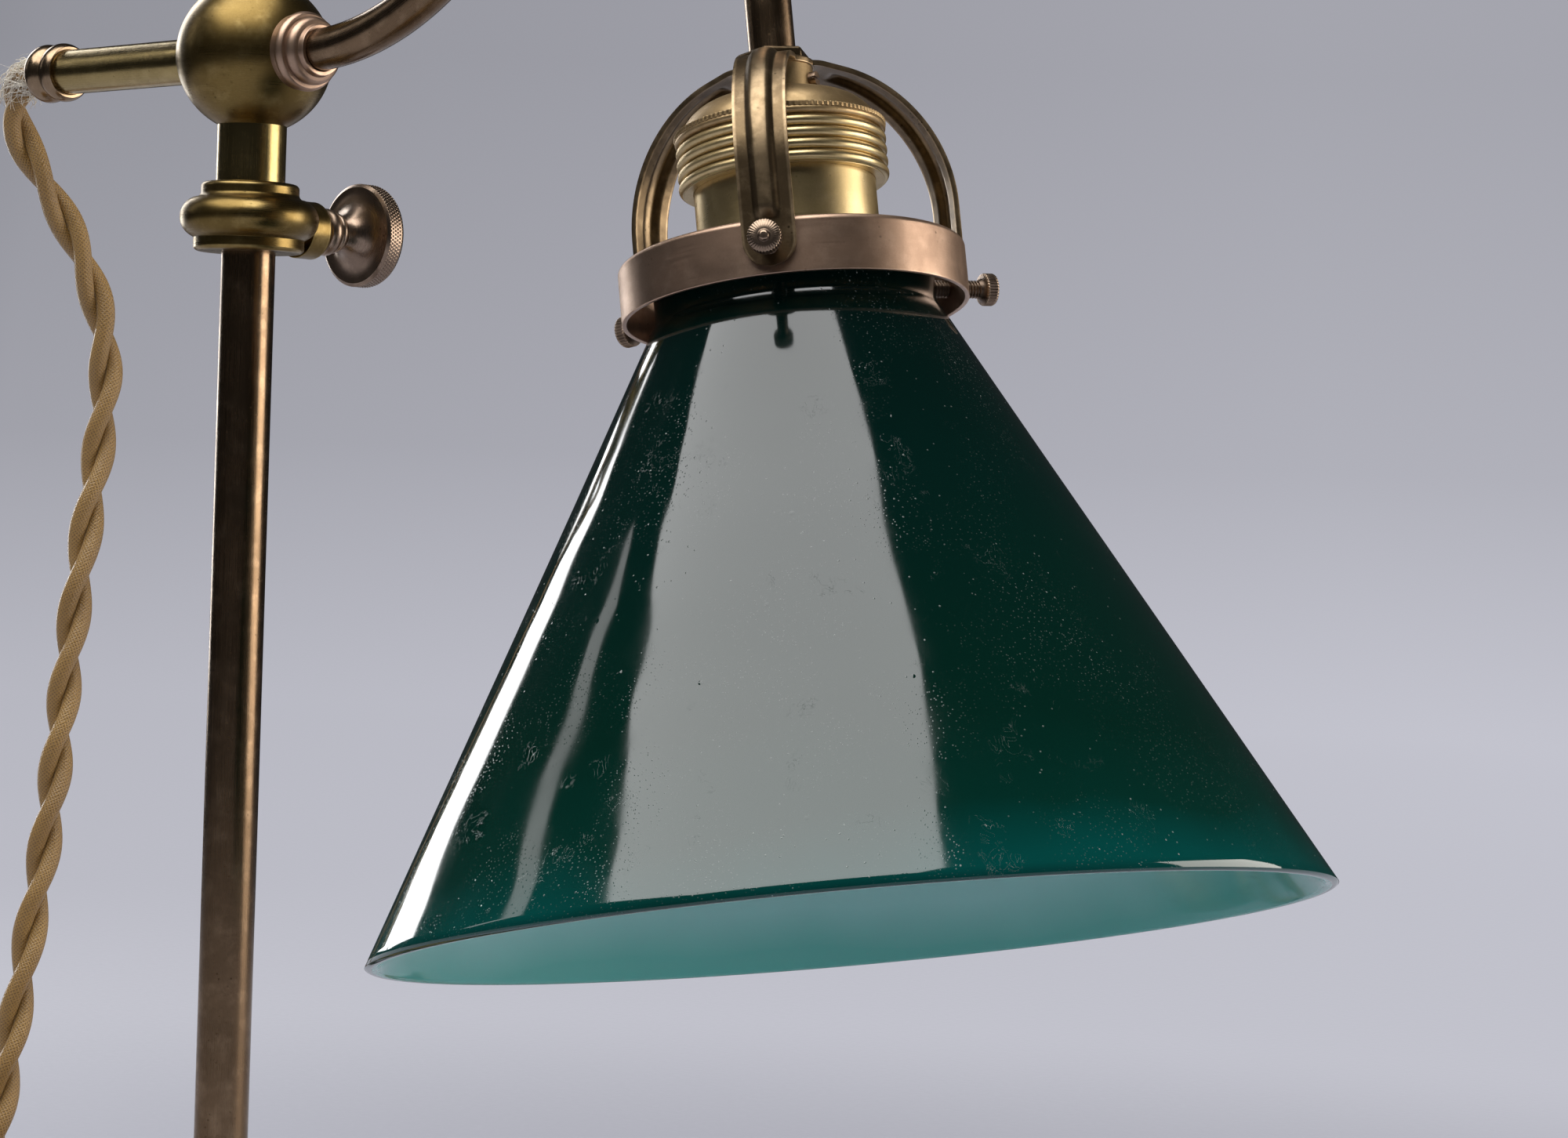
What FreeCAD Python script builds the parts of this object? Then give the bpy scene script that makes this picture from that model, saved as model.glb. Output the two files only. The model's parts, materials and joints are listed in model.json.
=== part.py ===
"""Brass desk lamp: a head slides on a round post and carries a gooseneck arm with a cone glass shade.

Millimetres, +Z up. The origin is on the table, on the post's axis. The arm reaches along +X.
"""
import math
import os

import FreeCAD
import Part

V = FreeCAD.Vector

# ---- driving dimensions -------------------------------------------------------------------------
# Base
BASE_R = 85.0            # radius of the spun cover's foot rim
COVER_WALL = 1.3
COVER_BOSS_TOP = 46.0    # height of the boss that the post stands on
COVER_BOSS_R = 13.5
FELT_THICK = 2.0
FELT_INSET = 3.0
WEIGHT_GAP = 0.5         # clearance between the cast weight and the cover's rim
WEIGHT_RIM_H = 3.5
WEIGHT_TOP_R = 52.0
WEIGHT_H = 22.0
NUT_POCKET_R = 17.0
NUT_POCKET_H = 11.0
WASHER_H = 1.8
# Post
POST_R = 6.5
POST_WALL = 1.2
POST_TOP = 474.0
STUD_R = 4.95            # thread that passes down through the base
STUD_LENGTH = 68.0
STUD_CLEARANCE = 0.08
FOOT_NUT_H = 6.0
THRUST_GAP = 0.3         # air between the parts that turn with the post and those that don't
FOOT_COLLAR_WIDE = 4.5   # how far the foot collar stands out from the post
FOOT_COLLAR_H = 9.0
FINIAL_H = 27.0
FINIAL_R = 9.5
FINIAL_SPIGOT = 8.0
# Sliding head, measured from the ball's centre
BALL_Z = 345.0           # height of the ball's centre above the table
BALL_R = 18.8
BALL_WALL = 1.4
SLEEVE_WALL = 1.72
SLEEVE_RISE = 8.0        # the sleeve's top above the ball
SLIDE_CLEARANCE = 0.08
NECK_RING_WIDE = 3.2     # how far the neck ring stands out from the sleeve
COLLAR_DROP = 12.0       # from the ball's lowest point to the top of the clamp collar
COLLAR_H = 16.6
COLLAR_R = 16.7
COLLAR_PLATE_R = 11.8
COLLAR_FOOT_R = 13.3
SOCKET_DEPTH = 3.0       # how far the sleeve sits in the collar
# Thumb screw of the clamp collar, along +Y
CLAMP_DROP = 9.9         # from the collar's top to the screw's axis
CLAMP_BOSS_R = 7.0
CLAMP_BOSS_END = 20.6
CLAMP_SCREW_R = 2.95
CLAMP_HOLE_CLEARANCE = 0.05
CLAMP_HEAD_R = 12.85
CLAMP_HEAD_FACE = 38.7
CLAMP_RIM = 5.0
CLAMP_KNURLS = 60
KNURL_DEPTH = 0.4
# Rear tube and ferrule, along -X
REAR_TUBE_R = 5.6
REAR_TUBE_WALL = 0.9
REAR_END = 83.5
FERRULE_R = 7.4
FERRULE_LENGTH = 10.7
BUSH_LENGTH = 8.0
# Gooseneck arm, in the plane Y = 0
ARM_R = 5.0
ARM_WALL = 1.0
ARM_STRAIGHT = 1.2       # from the ball's surface to the first bend
ARM_BEND_1 = 80.0
ARM_RISE = 60.0          # steepest angle of the arm, degrees
ARM_BEND_2 = 40.7
ARM_LEAN = 2.8           # the arm's plane leans out of the vertical about the arm's root, degrees
SHADE_TILT = 12.0        # the shade's axis leans out of the vertical in the arm's plane, degrees
RING_DROP = 94.9         # from the end of the second bend to the gallery ring's lower edge
ARM_COLLAR_R = 9.5
ARM_COLLAR_LENGTH = 6.2  # from the ball's surface
# Gallery, measured up the shade's axis from the ring's lower edge
FITTER_GAP = 7.0         # from the glass neck to the gallery ring's outer face
RING_H = 11.8
RING_WALL = 1.0
RING_LIP = 3.2
HUB_TOP = 53.9
HUB_R = 8.5
STRAP_THICK = 1.2
STRAP_WIDTH = 11.0
STRAP_SLOPE = 12.5       # degrees
STRAP_SHOULDER_R = 14.0
STRAP_FOOT = 1.4         # height of the strap's lower end
RIB_R = 1.7
RIB_GAP = 1.5            # from the screw's head to the rib's lower end
RIB_SHARE = 0.15         # the rib's straight part, as a share of its distance from the axis
ARM_NUT_H = 2.5
ARM_NUT_WIDE = 4.0       # how much wider than the arm the nut is
GALLERY_TURN = 5.5       # the straps' turn away from the arm's plane, degrees
SCREW_COUNT = 3
SCREW_HEIGHT = 5.6
SCREW_R = 1.95
SCREW_CLEARANCE = 0.05
SCREW_HEAD_R = 3.5
SCREW_HEAD_THICK = 2.5
SCREW_HEAD_OUT = 9.8     # from the ring's outer face to the screw head's face
SCREW_KNURLS = 30
# Glass shade
SHADE_R = 99.8
SHADE_DROP = 130.3
SHADE_WALL = 3.0
NECK_R = 29.6
NECK_LIP_OUT = 1.6
NECK_TOP = 10.0
NECK_LIP_H = 2.6
NECK_SCREW_GAP = 0.4
# Lampholder, measured up the shade's axis from the ring's lower edge
HOLDER_NECK_R = 8.2
HOLDER_NECK_H = 6.6
CAP_BOTTOM = 37.3
CAP_RIM_OUT = 0.2        # the cap's rim stands out from the shade ring
CAP_RIM_H = 2.4
CAP_WALL = 1.2
SHADE_RING_H = 10.2
SHADE_RING_THICK = 3.05
SHADE_RING_BEADS = 4
BARREL_R = 19.25
BARREL_WALL = 0.9
BARREL_BOTTOM = -8.0
CORE_TOP = 34.0
CORE_FLOOR = 24.0
SHELL_R = 13.5
SHELL_WALL = 0.4
CONTACT_R = 4.0
CONTACT_H = 1.6
TERMINAL_X = 9.5
TERMINAL_R = 1.5
GRUB_R = 1.5
GRUB_ANGLE = 20.0        # degrees round the neck from +X
# Bulb
BULB_CAP_R = 13.1
BULB_CAP_H = 25.0
BULB_R = 30.0
BULB_LENGTH = 105.0
BULB_WALL = 0.8
TIP_R = 5.0
TIP_H = 1.8
STEM_LENGTH = 34.0
STEM_R = 2.6
FILAMENT_R = 11.0
FILAMENT_WIRE_R = 0.35
# Leads and cord
LEAD_R = 2.3
LEAD_GAP = 0.9           # air between the leads and the sleeve inside the ball
CORD_R = 4.5
TABLE_LIFT = 0.2         # air under the cord where it lies
SWITCH_LENGTH = 62.0
SWITCH_WIDTH = 26.0
SWITCH_H = 19.0
SWITCH_SPLIT = 9.6       # height of the joint between its two shells
SWITCH_WALL = 2.0
SWITCH_CORNER_R = 9.0
SWITCH_EDGE_R = 3.0
SWITCH_SCREW_X = 22.0
SWITCH_SCREW_R = 1.5
PILLAR_R = 4.0
ROCKER_R = 11.6          # from the pin to the rocker's rounded ends
ROCKER_WIDTH = 9.0
ROCKER_GAP = 0.5
ROCKER_PIN_R = 1.2
ROCKER_PIN_Z = 12.6
ROCKER_PIN_GAP = 0.06
ROCKER_BOSS_R = 3.2
CHEEK_THICK = 3.0
CHEEK_LENGTH = 10.0
ROCKER_TILT = 8.0        # degrees either side of level
ROCKER_WING = 46.0       # degrees from level to the rocker's upper edges
COIL_R = 50.0            # radius at the middle of the turns
COIL_WIDTH = 20.0
COIL_H = 19.0
COIL_LIFT = 1.2
TIE_WIDTH = 8.0
TIE_THICK = 1.0
TIE_ANGLE = -100.0       # degrees round the coil from +X
PLUG_R = 19.0
PLUG_LENGTH = 36.0
PLUG_NECK_R = 8.0
PLUG_SCREW_R = 2.0
PLUG_SCREW_HOLE = 10.0
PLUG_SCREW_SUNK = 0.6
PIN_R = 2.4
PIN_LENGTH = 19.0
PIN_SPACING = 19.0
PIN_ROOT = 9.5           # how deep the pins sit in the plug

# ---- places worked out from the driving dimensions ----------------------------------------------
TUBE_BORE = POST_R - POST_WALL
POCKET_TOP = FELT_THICK + NUT_POCKET_H
FOOT_NUT_TOP = POCKET_TOP - WASHER_H - THRUST_GAP
POST_BOTTOM = COVER_BOSS_TOP + THRUST_GAP
SLIDE_BORE = POST_R + SLIDE_CLEARANCE
SLEEVE_R = SLIDE_BORE + SLEEVE_WALL
SLEEVE_TOP = BALL_R + SLEEVE_RISE
NECK_RING_R = SLEEVE_R + NECK_RING_WIDE
COLLAR_TOP = -BALL_R - COLLAR_DROP
CLAMP_Z = COLLAR_TOP - CLAMP_DROP
ARM_START = BALL_R + ARM_STRAIGHT
ARM_COLLAR_END = BALL_R + ARM_COLLAR_LENGTH
ARM_NUT_ACROSS = 2 * ARM_R + ARM_NUT_WIDE
RING_R = NECK_R + FITTER_GAP
SCREW_HEAD_REACH = RING_R + SCREW_HEAD_OUT
NECK_LIP_R = NECK_R + NECK_LIP_OUT
SHADE_RING_R = BARREL_R + SHADE_RING_THICK
CAP_RIM_R = SHADE_RING_R + CAP_RIM_OUT
BALL = V(0, 0, BALL_Z)
EXIT_ANGLE = math.radians(90.0 - SHADE_TILT)
RISE = math.radians(ARM_RISE)
COLLAR_BOTTOM = COLLAR_TOP - COLLAR_H
BEND_1_END = V(ARM_START + ARM_BEND_1 * math.sin(RISE), 0, ARM_BEND_1 * (1 - math.cos(RISE)))
BEND_2_END = BEND_1_END + V(ARM_BEND_2 * (math.sin(RISE) + math.sin(EXIT_ANGLE)), 0,
                            ARM_BEND_2 * (math.cos(EXIT_ANGLE) - math.cos(RISE)))
AXIS_DOWN = V(math.cos(EXIT_ANGLE), 0, -math.sin(EXIT_ANGLE))
RING_CENTRE = BEND_2_END + AXIS_DOWN * RING_DROP
HUB_BOTTOM = HUB_TOP - STRAP_THICK
NECK_LOW = HUB_BOTTOM - HOLDER_NECK_H
ARM_END = NECK_LOW + 1.0
GRUB_Z = HUB_BOTTOM - HOLDER_NECK_H / 2
SHADE_RING_BOTTOM = CAP_BOTTOM - SHADE_RING_H
CONTACT_BOTTOM = CORE_FLOOR - CONTACT_H
BULB_TOP = CONTACT_BOTTOM
BULB_CAP_BOTTOM = BULB_TOP - TIP_H - BULB_CAP_H
STEM_TOP = BULB_CAP_BOTTOM + 4.0
CORD_Z = CORD_R + TABLE_LIFT

# The free cord down to the table, from the ferrule's end; its heights follow the ball's
DROP_SET_OUT = 345.0
DROP_POINTS = [
    (0, 0, 0), (-8.0, 0, 0), (-14.5, 0.8, -5.2), (-15.5, 3.6, -14.0), (-12.2, 10.4, -27.0),
    (-8.6, 20.2, -44.0), (-6.7, 28.0, -67.0), (-7.8, 27.2, -93.0), (-7.6, 22.3, -122.0),
    (-8.2, 18.6, -155.0), (-8.2, 15.0, -191.0), (-9.4, 9.6, -226.5), (-11.0, 5.0, -260.0),
    (-13.5, 1.8, -288.0), (-19.0, 0.5, -310.0), (-32.5, 0.0, -330.0)]
# The same cord on the table, from the corner beyond the base: to the switch, then on to the coil
TABLE_CORNER = V(-BASE_R, BASE_R, 0)
TABLE_POINTS = [TABLE_CORNER + V(x, y, 0) for x, y in
                [(-49.0, -77.0), (-63.0, -62.0), (-67.0, -41.0), (-60.0, -20.5), (-46.5, -4.0)]]
SWITCH_START = TABLE_POINTS[-1]
SWITCH_AXIS = (TABLE_POINTS[-1] - TABLE_POINTS[-2]).normalize()
SWITCH_END = SWITCH_START + SWITCH_AXIS * SWITCH_LENGTH
SWITCH_MIDDLE = SWITCH_LENGTH / 2
SLOT_HALF = math.sqrt(ROCKER_R ** 2 - (SWITCH_H - SWITCH_WALL - ROCKER_PIN_Z) ** 2) + ROCKER_GAP
LEAD_START = 26.0        # straight run out of the switch
LEAD_POINTS = [TABLE_CORNER + V(30.0, 85.7, 0), TABLE_CORNER + V(54.2, 106.7, 0)]
LEAD_HEADING = (LEAD_POINTS[1] - LEAD_POINTS[0]).normalize()
COIL_CENTRE = LEAD_POINTS[1] + V(LEAD_HEADING.y, -LEAD_HEADING.x, 0) * COIL_R
# The last of the cord, from the coil's top turn to the plug
TAIL_SUNK = 0.6          # below the coil's top
TAIL_Z = COIL_LIFT + COIL_H - CORD_R - TAIL_SUNK
TAIL_START = COIL_CENTRE + V(0, COIL_R, TAIL_Z)
TAIL_POINTS = [(0.0, 0.0), (21.0, 1.0), (42.0, -1.0), (62.0, -3.0)]
TAIL_RISE = [0.0, 0.3, 1.0, 1.0]     # share of the climb from the coil to the plug's axis


# ---- helpers ------------------------------------------------------------------------------------
def wire_of(start, steps, point):
    """Joins straight steps (a, b) and arcs ((a, b) on the arc, (a, b) at its end) into edges."""
    edges = []
    here = start
    for step in steps:
        if isinstance(step[0], tuple):
            edges.append(Part.Arc(point(*here), point(*step[0]), point(*step[1])).toShape())
            here = step[1]
        else:
            edges.append(Part.LineSegment(point(*here), point(*step)).toShape())
            here = step
    return edges, here


def turned(start, *steps):
    """A solid turned about Z from an outline of (radius, height) points, closed with a straight line."""
    edges, last = wire_of(start, steps, lambda r, z: V(r, 0, z))
    if last != start:
        edges.append(Part.LineSegment(V(last[0], 0, last[1]), V(start[0], 0, start[1])).toShape())
    face = Part.Face(Part.Wire(edges))
    solid = face.revolve(V(0, 0, 0), V(0, 0, 1), 360)
    return solid if solid.Volume > 0 else solid.reversed()


def rod(radius, start, end):
    """A cylinder between two points."""
    return Part.makeCylinder(radius, (end - start).Length, start, end - start)


def pipe(radius, bore, bottom, top):
    """A straight tube about Z."""
    outer = Part.makeCylinder(radius, top - bottom, V(0, 0, bottom))
    return outer.cut(Part.makeCylinder(bore, top - bottom, V(0, 0, bottom)))


def hexagon(across, height, bottom, bore):
    """A hexagon nut about Z."""
    corner = across / math.sqrt(3.0)
    corners = [V(corner * math.cos(math.radians(60 * i)), corner * math.sin(math.radians(60 * i)), bottom)
               for i in range(7)]
    body = Part.Face(Part.makePolygon(corners)).extrude(V(0, 0, height))
    return body.cut(Part.makeCylinder(bore, height, V(0, 0, bottom)))


def along(shape, direction, origin=V(0, 0, 0)):
    """Turns a shape built about +Z so that it lies along a direction, then moves it to an origin."""
    out = shape.copy()
    turn = FreeCAD.Rotation(V(0, 0, 1), direction)
    out.Placement = FreeCAD.Placement(origin, turn).multiply(out.Placement)
    return out


def on_head(shape):
    """Moves a shape built about the ball's centre to its place on the lamp."""
    out = shape.copy()
    out.translate(BALL)
    return out


def on_arm(shape):
    """Moves a shape built in the arm's plane about the ball's centre to its place on the lamp."""
    out = shape.copy()
    lean = FreeCAD.Rotation(V(1, 0, 0), -ARM_LEAN)
    out.Placement = FreeCAD.Placement(BALL, lean).multiply(out.Placement)
    return out


def on_axis(shape):
    """Moves a shape built about the shade's axis, from the ring's lower edge, to its place."""
    out = shape.copy()
    tilt = FreeCAD.Rotation(V(0, 1, 0), -SHADE_TILT)
    out.Placement = FreeCAD.Placement(RING_CENTRE, tilt).multiply(out.Placement)
    return on_arm(out)


def knurled(shape, radius, bottom, height, count, depth):
    """Cuts a ring of straight V grooves about Z into a turned head."""
    half = math.radians(180.0 / count) * 0.62
    tools = []
    for i in range(count):
        angle = math.radians(360.0 * i / count)
        inner = radius - depth
        outer = radius * 1.04
        corners = [V(inner * math.cos(angle), inner * math.sin(angle), bottom),
                   V(outer * math.cos(angle - half), outer * math.sin(angle - half), bottom),
                   V(outer * math.cos(angle + half), outer * math.sin(angle + half), bottom)]
        groove = Part.Face(Part.makePolygon(corners + corners[:1]))
        tools.append(groove.extrude(V(0, 0, height)))
    return shape.cut(Part.makeCompound(tools))


def rounded_route(points):
    """A wire of straight runs joined by tangent arcs, each as large as its two runs allow."""
    edges = []
    radii = []
    here = points[0]
    for before, corner, after in zip(points, points[1:], points[2:]):
        run_in = corner - before
        run_out = after - corner
        half_turn = run_in.getAngle(run_out) / 2.0
        reach = 0.45 * min(run_in.Length, run_out.Length)
        radii.append(reach / math.tan(half_turn))
        into = corner - V(run_in).normalize() * reach
        out_of = corner + V(run_out).normalize() * reach
        inward = (V(run_out).normalize() - V(run_in).normalize()).normalize()
        middle = corner + inward * (radii[-1] / math.cos(half_turn) - radii[-1])
        edges.append(Part.LineSegment(here, into).toShape())
        edges.append(Part.Arc(into, middle, out_of).toShape())
        here = out_of
    edges.append(Part.LineSegment(here, points[-1]).toShape())
    return Part.Wire(edges), radii


def cord_tube(name, points):
    """A plain tube along a route, with its radii and its volume printed as a check."""
    path, radii = rounded_route(points)
    start_direction = points[1] - points[0]
    section = Part.Wire(Part.makeCircle(CORD_R, points[0], start_direction))
    solid = path.makePipeShell([section], True, True)
    ideal = math.pi * CORD_R ** 2 * path.Length
    print(name, "length %.0f" % path.Length, "volume ratio %.4f" % (solid.Volume / ideal),
          "radii", " ".join("%.0f" % r for r in radii))
    return solid


# ---- base ---------------------------------------------------------------------------------------
def cover_form(inset):
    """The spun cover's outer form, or with an inset the hollow inside it."""
    r = BASE_R - inset
    boss = COVER_BOSS_R - inset
    top = COVER_BOSS_TOP - inset
    low = FELT_THICK - inset
    return turned(
        (0, low), (r, low), (r, low + 3.4), ((r - 0.9, low + 5.8), (r - 3.2, low + 6.8)),
        (r - 6.0, low + 6.8), (r - 6.0, low + 9.4), ((r - 14.5, low + 11.6), (r - 21.5, low + 17.5)),
        (r - 22.5, low + 20.0), ((r - 36.0, low + 26.0), (r - 54.0, low + 29.5)),
        (r - 56.0, low + 31.5), ((boss + 4.5, low + 34.0), (boss, top - 5.0)), (boss, top), (0, top))


def base_cover():
    hole = Part.makeCylinder(STUD_R + STUD_CLEARANCE, COVER_BOSS_TOP + 1)
    return cover_form(0).cut(cover_form(COVER_WALL)).cut(hole)


def base_weight():
    rim = BASE_R - COVER_WALL - WEIGHT_GAP
    body = turned(
        (0, FELT_THICK), (rim, FELT_THICK), (rim, FELT_THICK + WEIGHT_RIM_H),
        (rim - 7.0, FELT_THICK + WEIGHT_RIM_H), (WEIGHT_TOP_R, WEIGHT_H), (0, WEIGHT_H))
    boss_r = COVER_BOSS_R - COVER_WALL - WEIGHT_GAP
    body = body.fuse(Part.makeCylinder(boss_r, COVER_BOSS_TOP - COVER_WALL - WEIGHT_H, V(0, 0, WEIGHT_H)))
    body = body.cut(Part.makeCylinder(NUT_POCKET_R, NUT_POCKET_H, V(0, 0, FELT_THICK)))
    return body.cut(Part.makeCylinder(STUD_R + STUD_CLEARANCE, COVER_BOSS_TOP)).removeSplitter()


def base_felt():
    return Part.makeCylinder(BASE_R - FELT_INSET, FELT_THICK)


def base_washer():
    return pipe(NUT_POCKET_R - 3.0, STUD_R + 1.0, POCKET_TOP - WASHER_H, POCKET_TOP)


# ---- post ---------------------------------------------------------------------------------------
def foot_nut():
    return hexagon(NUT_POCKET_R + 2.0, FOOT_NUT_H, FOOT_NUT_TOP - FOOT_NUT_H, STUD_R)


def post_stud():
    low = FOOT_NUT_TOP - FOOT_NUT_H - 1.0
    thread = Part.makeCylinder(STUD_R, POST_BOTTOM - low, V(0, 0, low))
    return thread.fuse(Part.makeCylinder(TUBE_BORE, low + STUD_LENGTH - POST_BOTTOM, V(0, 0, POST_BOTTOM)))


def post_tube():
    return pipe(POST_R, TUBE_BORE, POST_BOTTOM, POST_TOP)


def foot_collar():
    low = POST_BOTTOM
    top = low + FOOT_COLLAR_H
    r = POST_R + FOOT_COLLAR_WIDE
    return turned(
        (POST_R, low), (r - 0.6, low), ((r, low + 1.6), (r - 0.6, low + 3.2)), (r - 2.2, low + 3.8),
        ((r - 2.9, low + 5.6), (POST_R + 1.2, top - 1.0)), (POST_R + 1.2, top), (POST_R, top))


def post_finial():
    top = POST_TOP + FINIAL_H
    r = FINIAL_R
    return turned(
        (0, POST_TOP - FINIAL_SPIGOT), (TUBE_BORE, POST_TOP - FINIAL_SPIGOT), (TUBE_BORE, POST_TOP),
        (r - 0.8, POST_TOP), ((r, POST_TOP + 1.5), (r - 0.8, POST_TOP + 3.0)), (r - 3.0, POST_TOP + 3.6),
        ((r - 5.0, POST_TOP + 6.0), (r - 3.8, POST_TOP + 8.5)),
        ((r, POST_TOP + 14.5), (r - 4.2, top - 6.5)), ((r - 6.2, top - 5.2), (r - 6.4, top - 4.2)),
        ((r - 6.7, top - 1.2), (1.0, top)), (0, top))


# ---- sliding head -------------------------------------------------------------------------------
def clamp_collar():
    low = COLLAR_BOTTOM
    top = COLLAR_TOP
    foot = low + 3.2
    plate = top - 3.4
    body = turned(
        (SLIDE_BORE, low), (COLLAR_FOOT_R - 1.2, low), ((COLLAR_FOOT_R - 0.35, low + 0.35),
                                                        (COLLAR_FOOT_R, low + 1.2)),
        (COLLAR_FOOT_R, foot), (COLLAR_FOOT_R + 0.7, foot + 0.4),
        ((COLLAR_R, (foot + plate) / 2), (COLLAR_PLATE_R + 1.9, plate - 0.5)),
        ((COLLAR_PLATE_R + 0.6, plate - 0.1), (COLLAR_PLATE_R, plate + 0.8)),
        (COLLAR_PLATE_R, top - 1.2), ((COLLAR_PLATE_R - 0.35, top - 0.35), (COLLAR_PLATE_R - 1.2, top)),
        (SLEEVE_R, top), (SLEEVE_R, top - SOCKET_DEPTH), (SLIDE_BORE, top - SOCKET_DEPTH))
    boss = rod(CLAMP_BOSS_R, V(0, SLIDE_BORE + 1.5, CLAMP_Z), V(0, CLAMP_BOSS_END, CLAMP_Z))
    hole = rod(CLAMP_SCREW_R + CLAMP_HOLE_CLEARANCE, V(0, 0, CLAMP_Z), V(0, CLAMP_BOSS_END + 1, CLAMP_Z))
    return on_head(body.fuse(boss).removeSplitter().cut(hole))


def clamp_screw():
    tip = POST_R + THRUST_GAP
    start = CLAMP_BOSS_END + 1.2
    face = CLAMP_HEAD_FACE
    back = face - CLAMP_RIM
    r = CLAMP_HEAD_R
    body = turned(
        (0, tip), (CLAMP_SCREW_R - 0.7, tip), (CLAMP_SCREW_R, tip + 0.7), (CLAMP_SCREW_R, start),
        (4.3, start), ((5.8, start + 2.0), (4.5, start + 4.0)), ((5.0, start + 4.9), (4.2, start + 5.8)),
        (3.9, start + 6.6), ((6.4, back - 1.7), (r - 0.9, back - 0.1)), (r, back + 0.5),
        (r, face - 0.6), (r - 0.6, face), (r - 2.2, face), (r - 2.9, face - 0.5), (0, face - 0.3))
    body = knurled(body, r, back, CLAMP_RIM, CLAMP_KNURLS, KNURL_DEPTH)
    return on_head(along(body, V(0, 1, 0), V(0, 0, CLAMP_Z)))


def slide_sleeve():
    return on_head(pipe(SLEEVE_R, SLIDE_BORE, COLLAR_TOP - SOCKET_DEPTH, SLEEVE_TOP))


def ball_shell():
    shell = Part.makeSphere(BALL_R).cut(Part.makeSphere(BALL_R - BALL_WALL))
    shell = shell.cut(rod(SLEEVE_R, V(0, 0, -2 * BALL_R), V(0, 0, 2 * BALL_R)))
    shell = shell.cut(rod(REAR_TUBE_R, V(0, 0, 0), V(-2 * BALL_R, 0, 0)))
    return on_head(shell.cut(rod(ARM_R, V(0, 0, 0), V(2 * BALL_R, 0, 0))))


def ball_neck_ring():
    low = BALL_R - 3.0
    r = NECK_RING_R
    ring = turned(
        (SLEEVE_R, low), (r - 0.8, low), (r - 0.8, low + 3.6), ((r, low + 5.2), (r - 0.8, low + 6.8)),
        (r - 2.4, low + 7.4), (r - 2.4, SLEEVE_TOP), (SLEEVE_R, SLEEVE_TOP))
    return on_head(ring.cut(Part.makeSphere(BALL_R)))


def rear_tube():
    tube = pipe(REAR_TUBE_R, REAR_TUBE_R - REAR_TUBE_WALL, BALL_R - BALL_WALL - 0.4, REAR_END - 1.0)
    return on_head(along(tube, V(-1, 0, 0)))


def rear_ferrule():
    low = REAR_END - FERRULE_LENGTH
    half = low + FERRULE_LENGTH / 2
    r = FERRULE_R
    bore = REAR_TUBE_R - REAR_TUBE_WALL
    body = turned(
        (REAR_TUBE_R, low), (r - 0.9, low), ((r, low + 2.2), (r - 0.9, half - 0.7)), (r - 1.3, half),
        (r - 0.9, half + 0.7), ((r, REAR_END - 2.2), (r - 0.9, REAR_END)), (bore, REAR_END),
        (bore, REAR_END - 1.0), (REAR_TUBE_R, REAR_END - 1.0))
    return on_head(along(body, V(-1, 0, 0)))


def cord_bush():
    bush = pipe(REAR_TUBE_R - REAR_TUBE_WALL, LEAD_R, REAR_END - BUSH_LENGTH, REAR_END)
    return on_head(along(bush, V(-1, 0, 0)))


def arm_collar():
    r = ARM_COLLAR_R
    end = ARM_COLLAR_END
    ring = turned(
        (ARM_R, BALL_R - 5.0), (r - 0.5, BALL_R - 5.0), (r - 0.5, end - 6.9),
        ((r, end - 5.6), (r - 0.7, end - 4.4)), (r - 1.6, end - 4.2),
        ((r - 1.5, end - 2.6), (r - 2.4, end - 1.6)), (r - 3.2, end - 1.4), (r - 3.4, end), (ARM_R, end))
    ring = along(ring, V(1, 0, 0)).cut(Part.makeSphere(BALL_R))
    return on_arm(ring.cut(arm_sweep(ARM_R)))


def arm_edges(first, last):
    """The arm's centre line from a place on the ball's axis to a height on the shade's axis."""
    bend_1_middle = V(ARM_START + ARM_BEND_1 * math.sin(RISE / 2), 0, ARM_BEND_1 * (1 - math.cos(RISE / 2)))
    centre_2 = BEND_1_END + V(math.sin(RISE), 0, -math.cos(RISE)) * ARM_BEND_2
    middle = (RISE - EXIT_ANGLE) / 2
    bend_2_middle = centre_2 + V(-math.sin(middle), 0, math.cos(middle)) * ARM_BEND_2
    return [Part.LineSegment(V(first, 0, 0), V(ARM_START, 0, 0)).toShape(),
            Part.Arc(V(ARM_START, 0, 0), bend_1_middle, BEND_1_END).toShape(),
            Part.Arc(BEND_1_END, bend_2_middle, BEND_2_END).toShape(),
            Part.LineSegment(BEND_2_END, RING_CENTRE - AXIS_DOWN * last).toShape()]


def arm_sweep(radius):
    """A solid bar of the arm's shape about the ball's centre."""
    start = BALL_R - BALL_WALL - 0.4
    section = Part.Wire(Part.makeCircle(radius, V(start, 0, 0), V(1, 0, 0)))
    return Part.Wire(arm_edges(start, ARM_END)).makePipeShell([section], True, True)


def arm_tube():
    return on_arm(arm_sweep(ARM_R).cut(arm_sweep(ARM_R - ARM_WALL)))


def inner_lead():
    """The two cores inside the head: through the rear tube, round the sleeve in the ball, along the arm."""
    side = SLEEVE_R + LEAD_R + LEAD_GAP
    around = [V(-REAR_END, 0, 0), V(-15.0, 0, 0), V(-8.5, side, 0), V(8.5, side, 0), V(15.0, 0, 0),
              V(ARM_START, 0, 0)]
    in_ball, _ = rounded_route(around)
    arm = arm_edges(ARM_START - 1.0, CORE_TOP)[1:]
    path = Part.Wire(in_ball.Edges + arm)
    section = Part.Wire(Part.makeCircle(LEAD_R, around[0], V(1, 0, 0)))
    return on_arm(path.makePipeShell([section], True, True))


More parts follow.
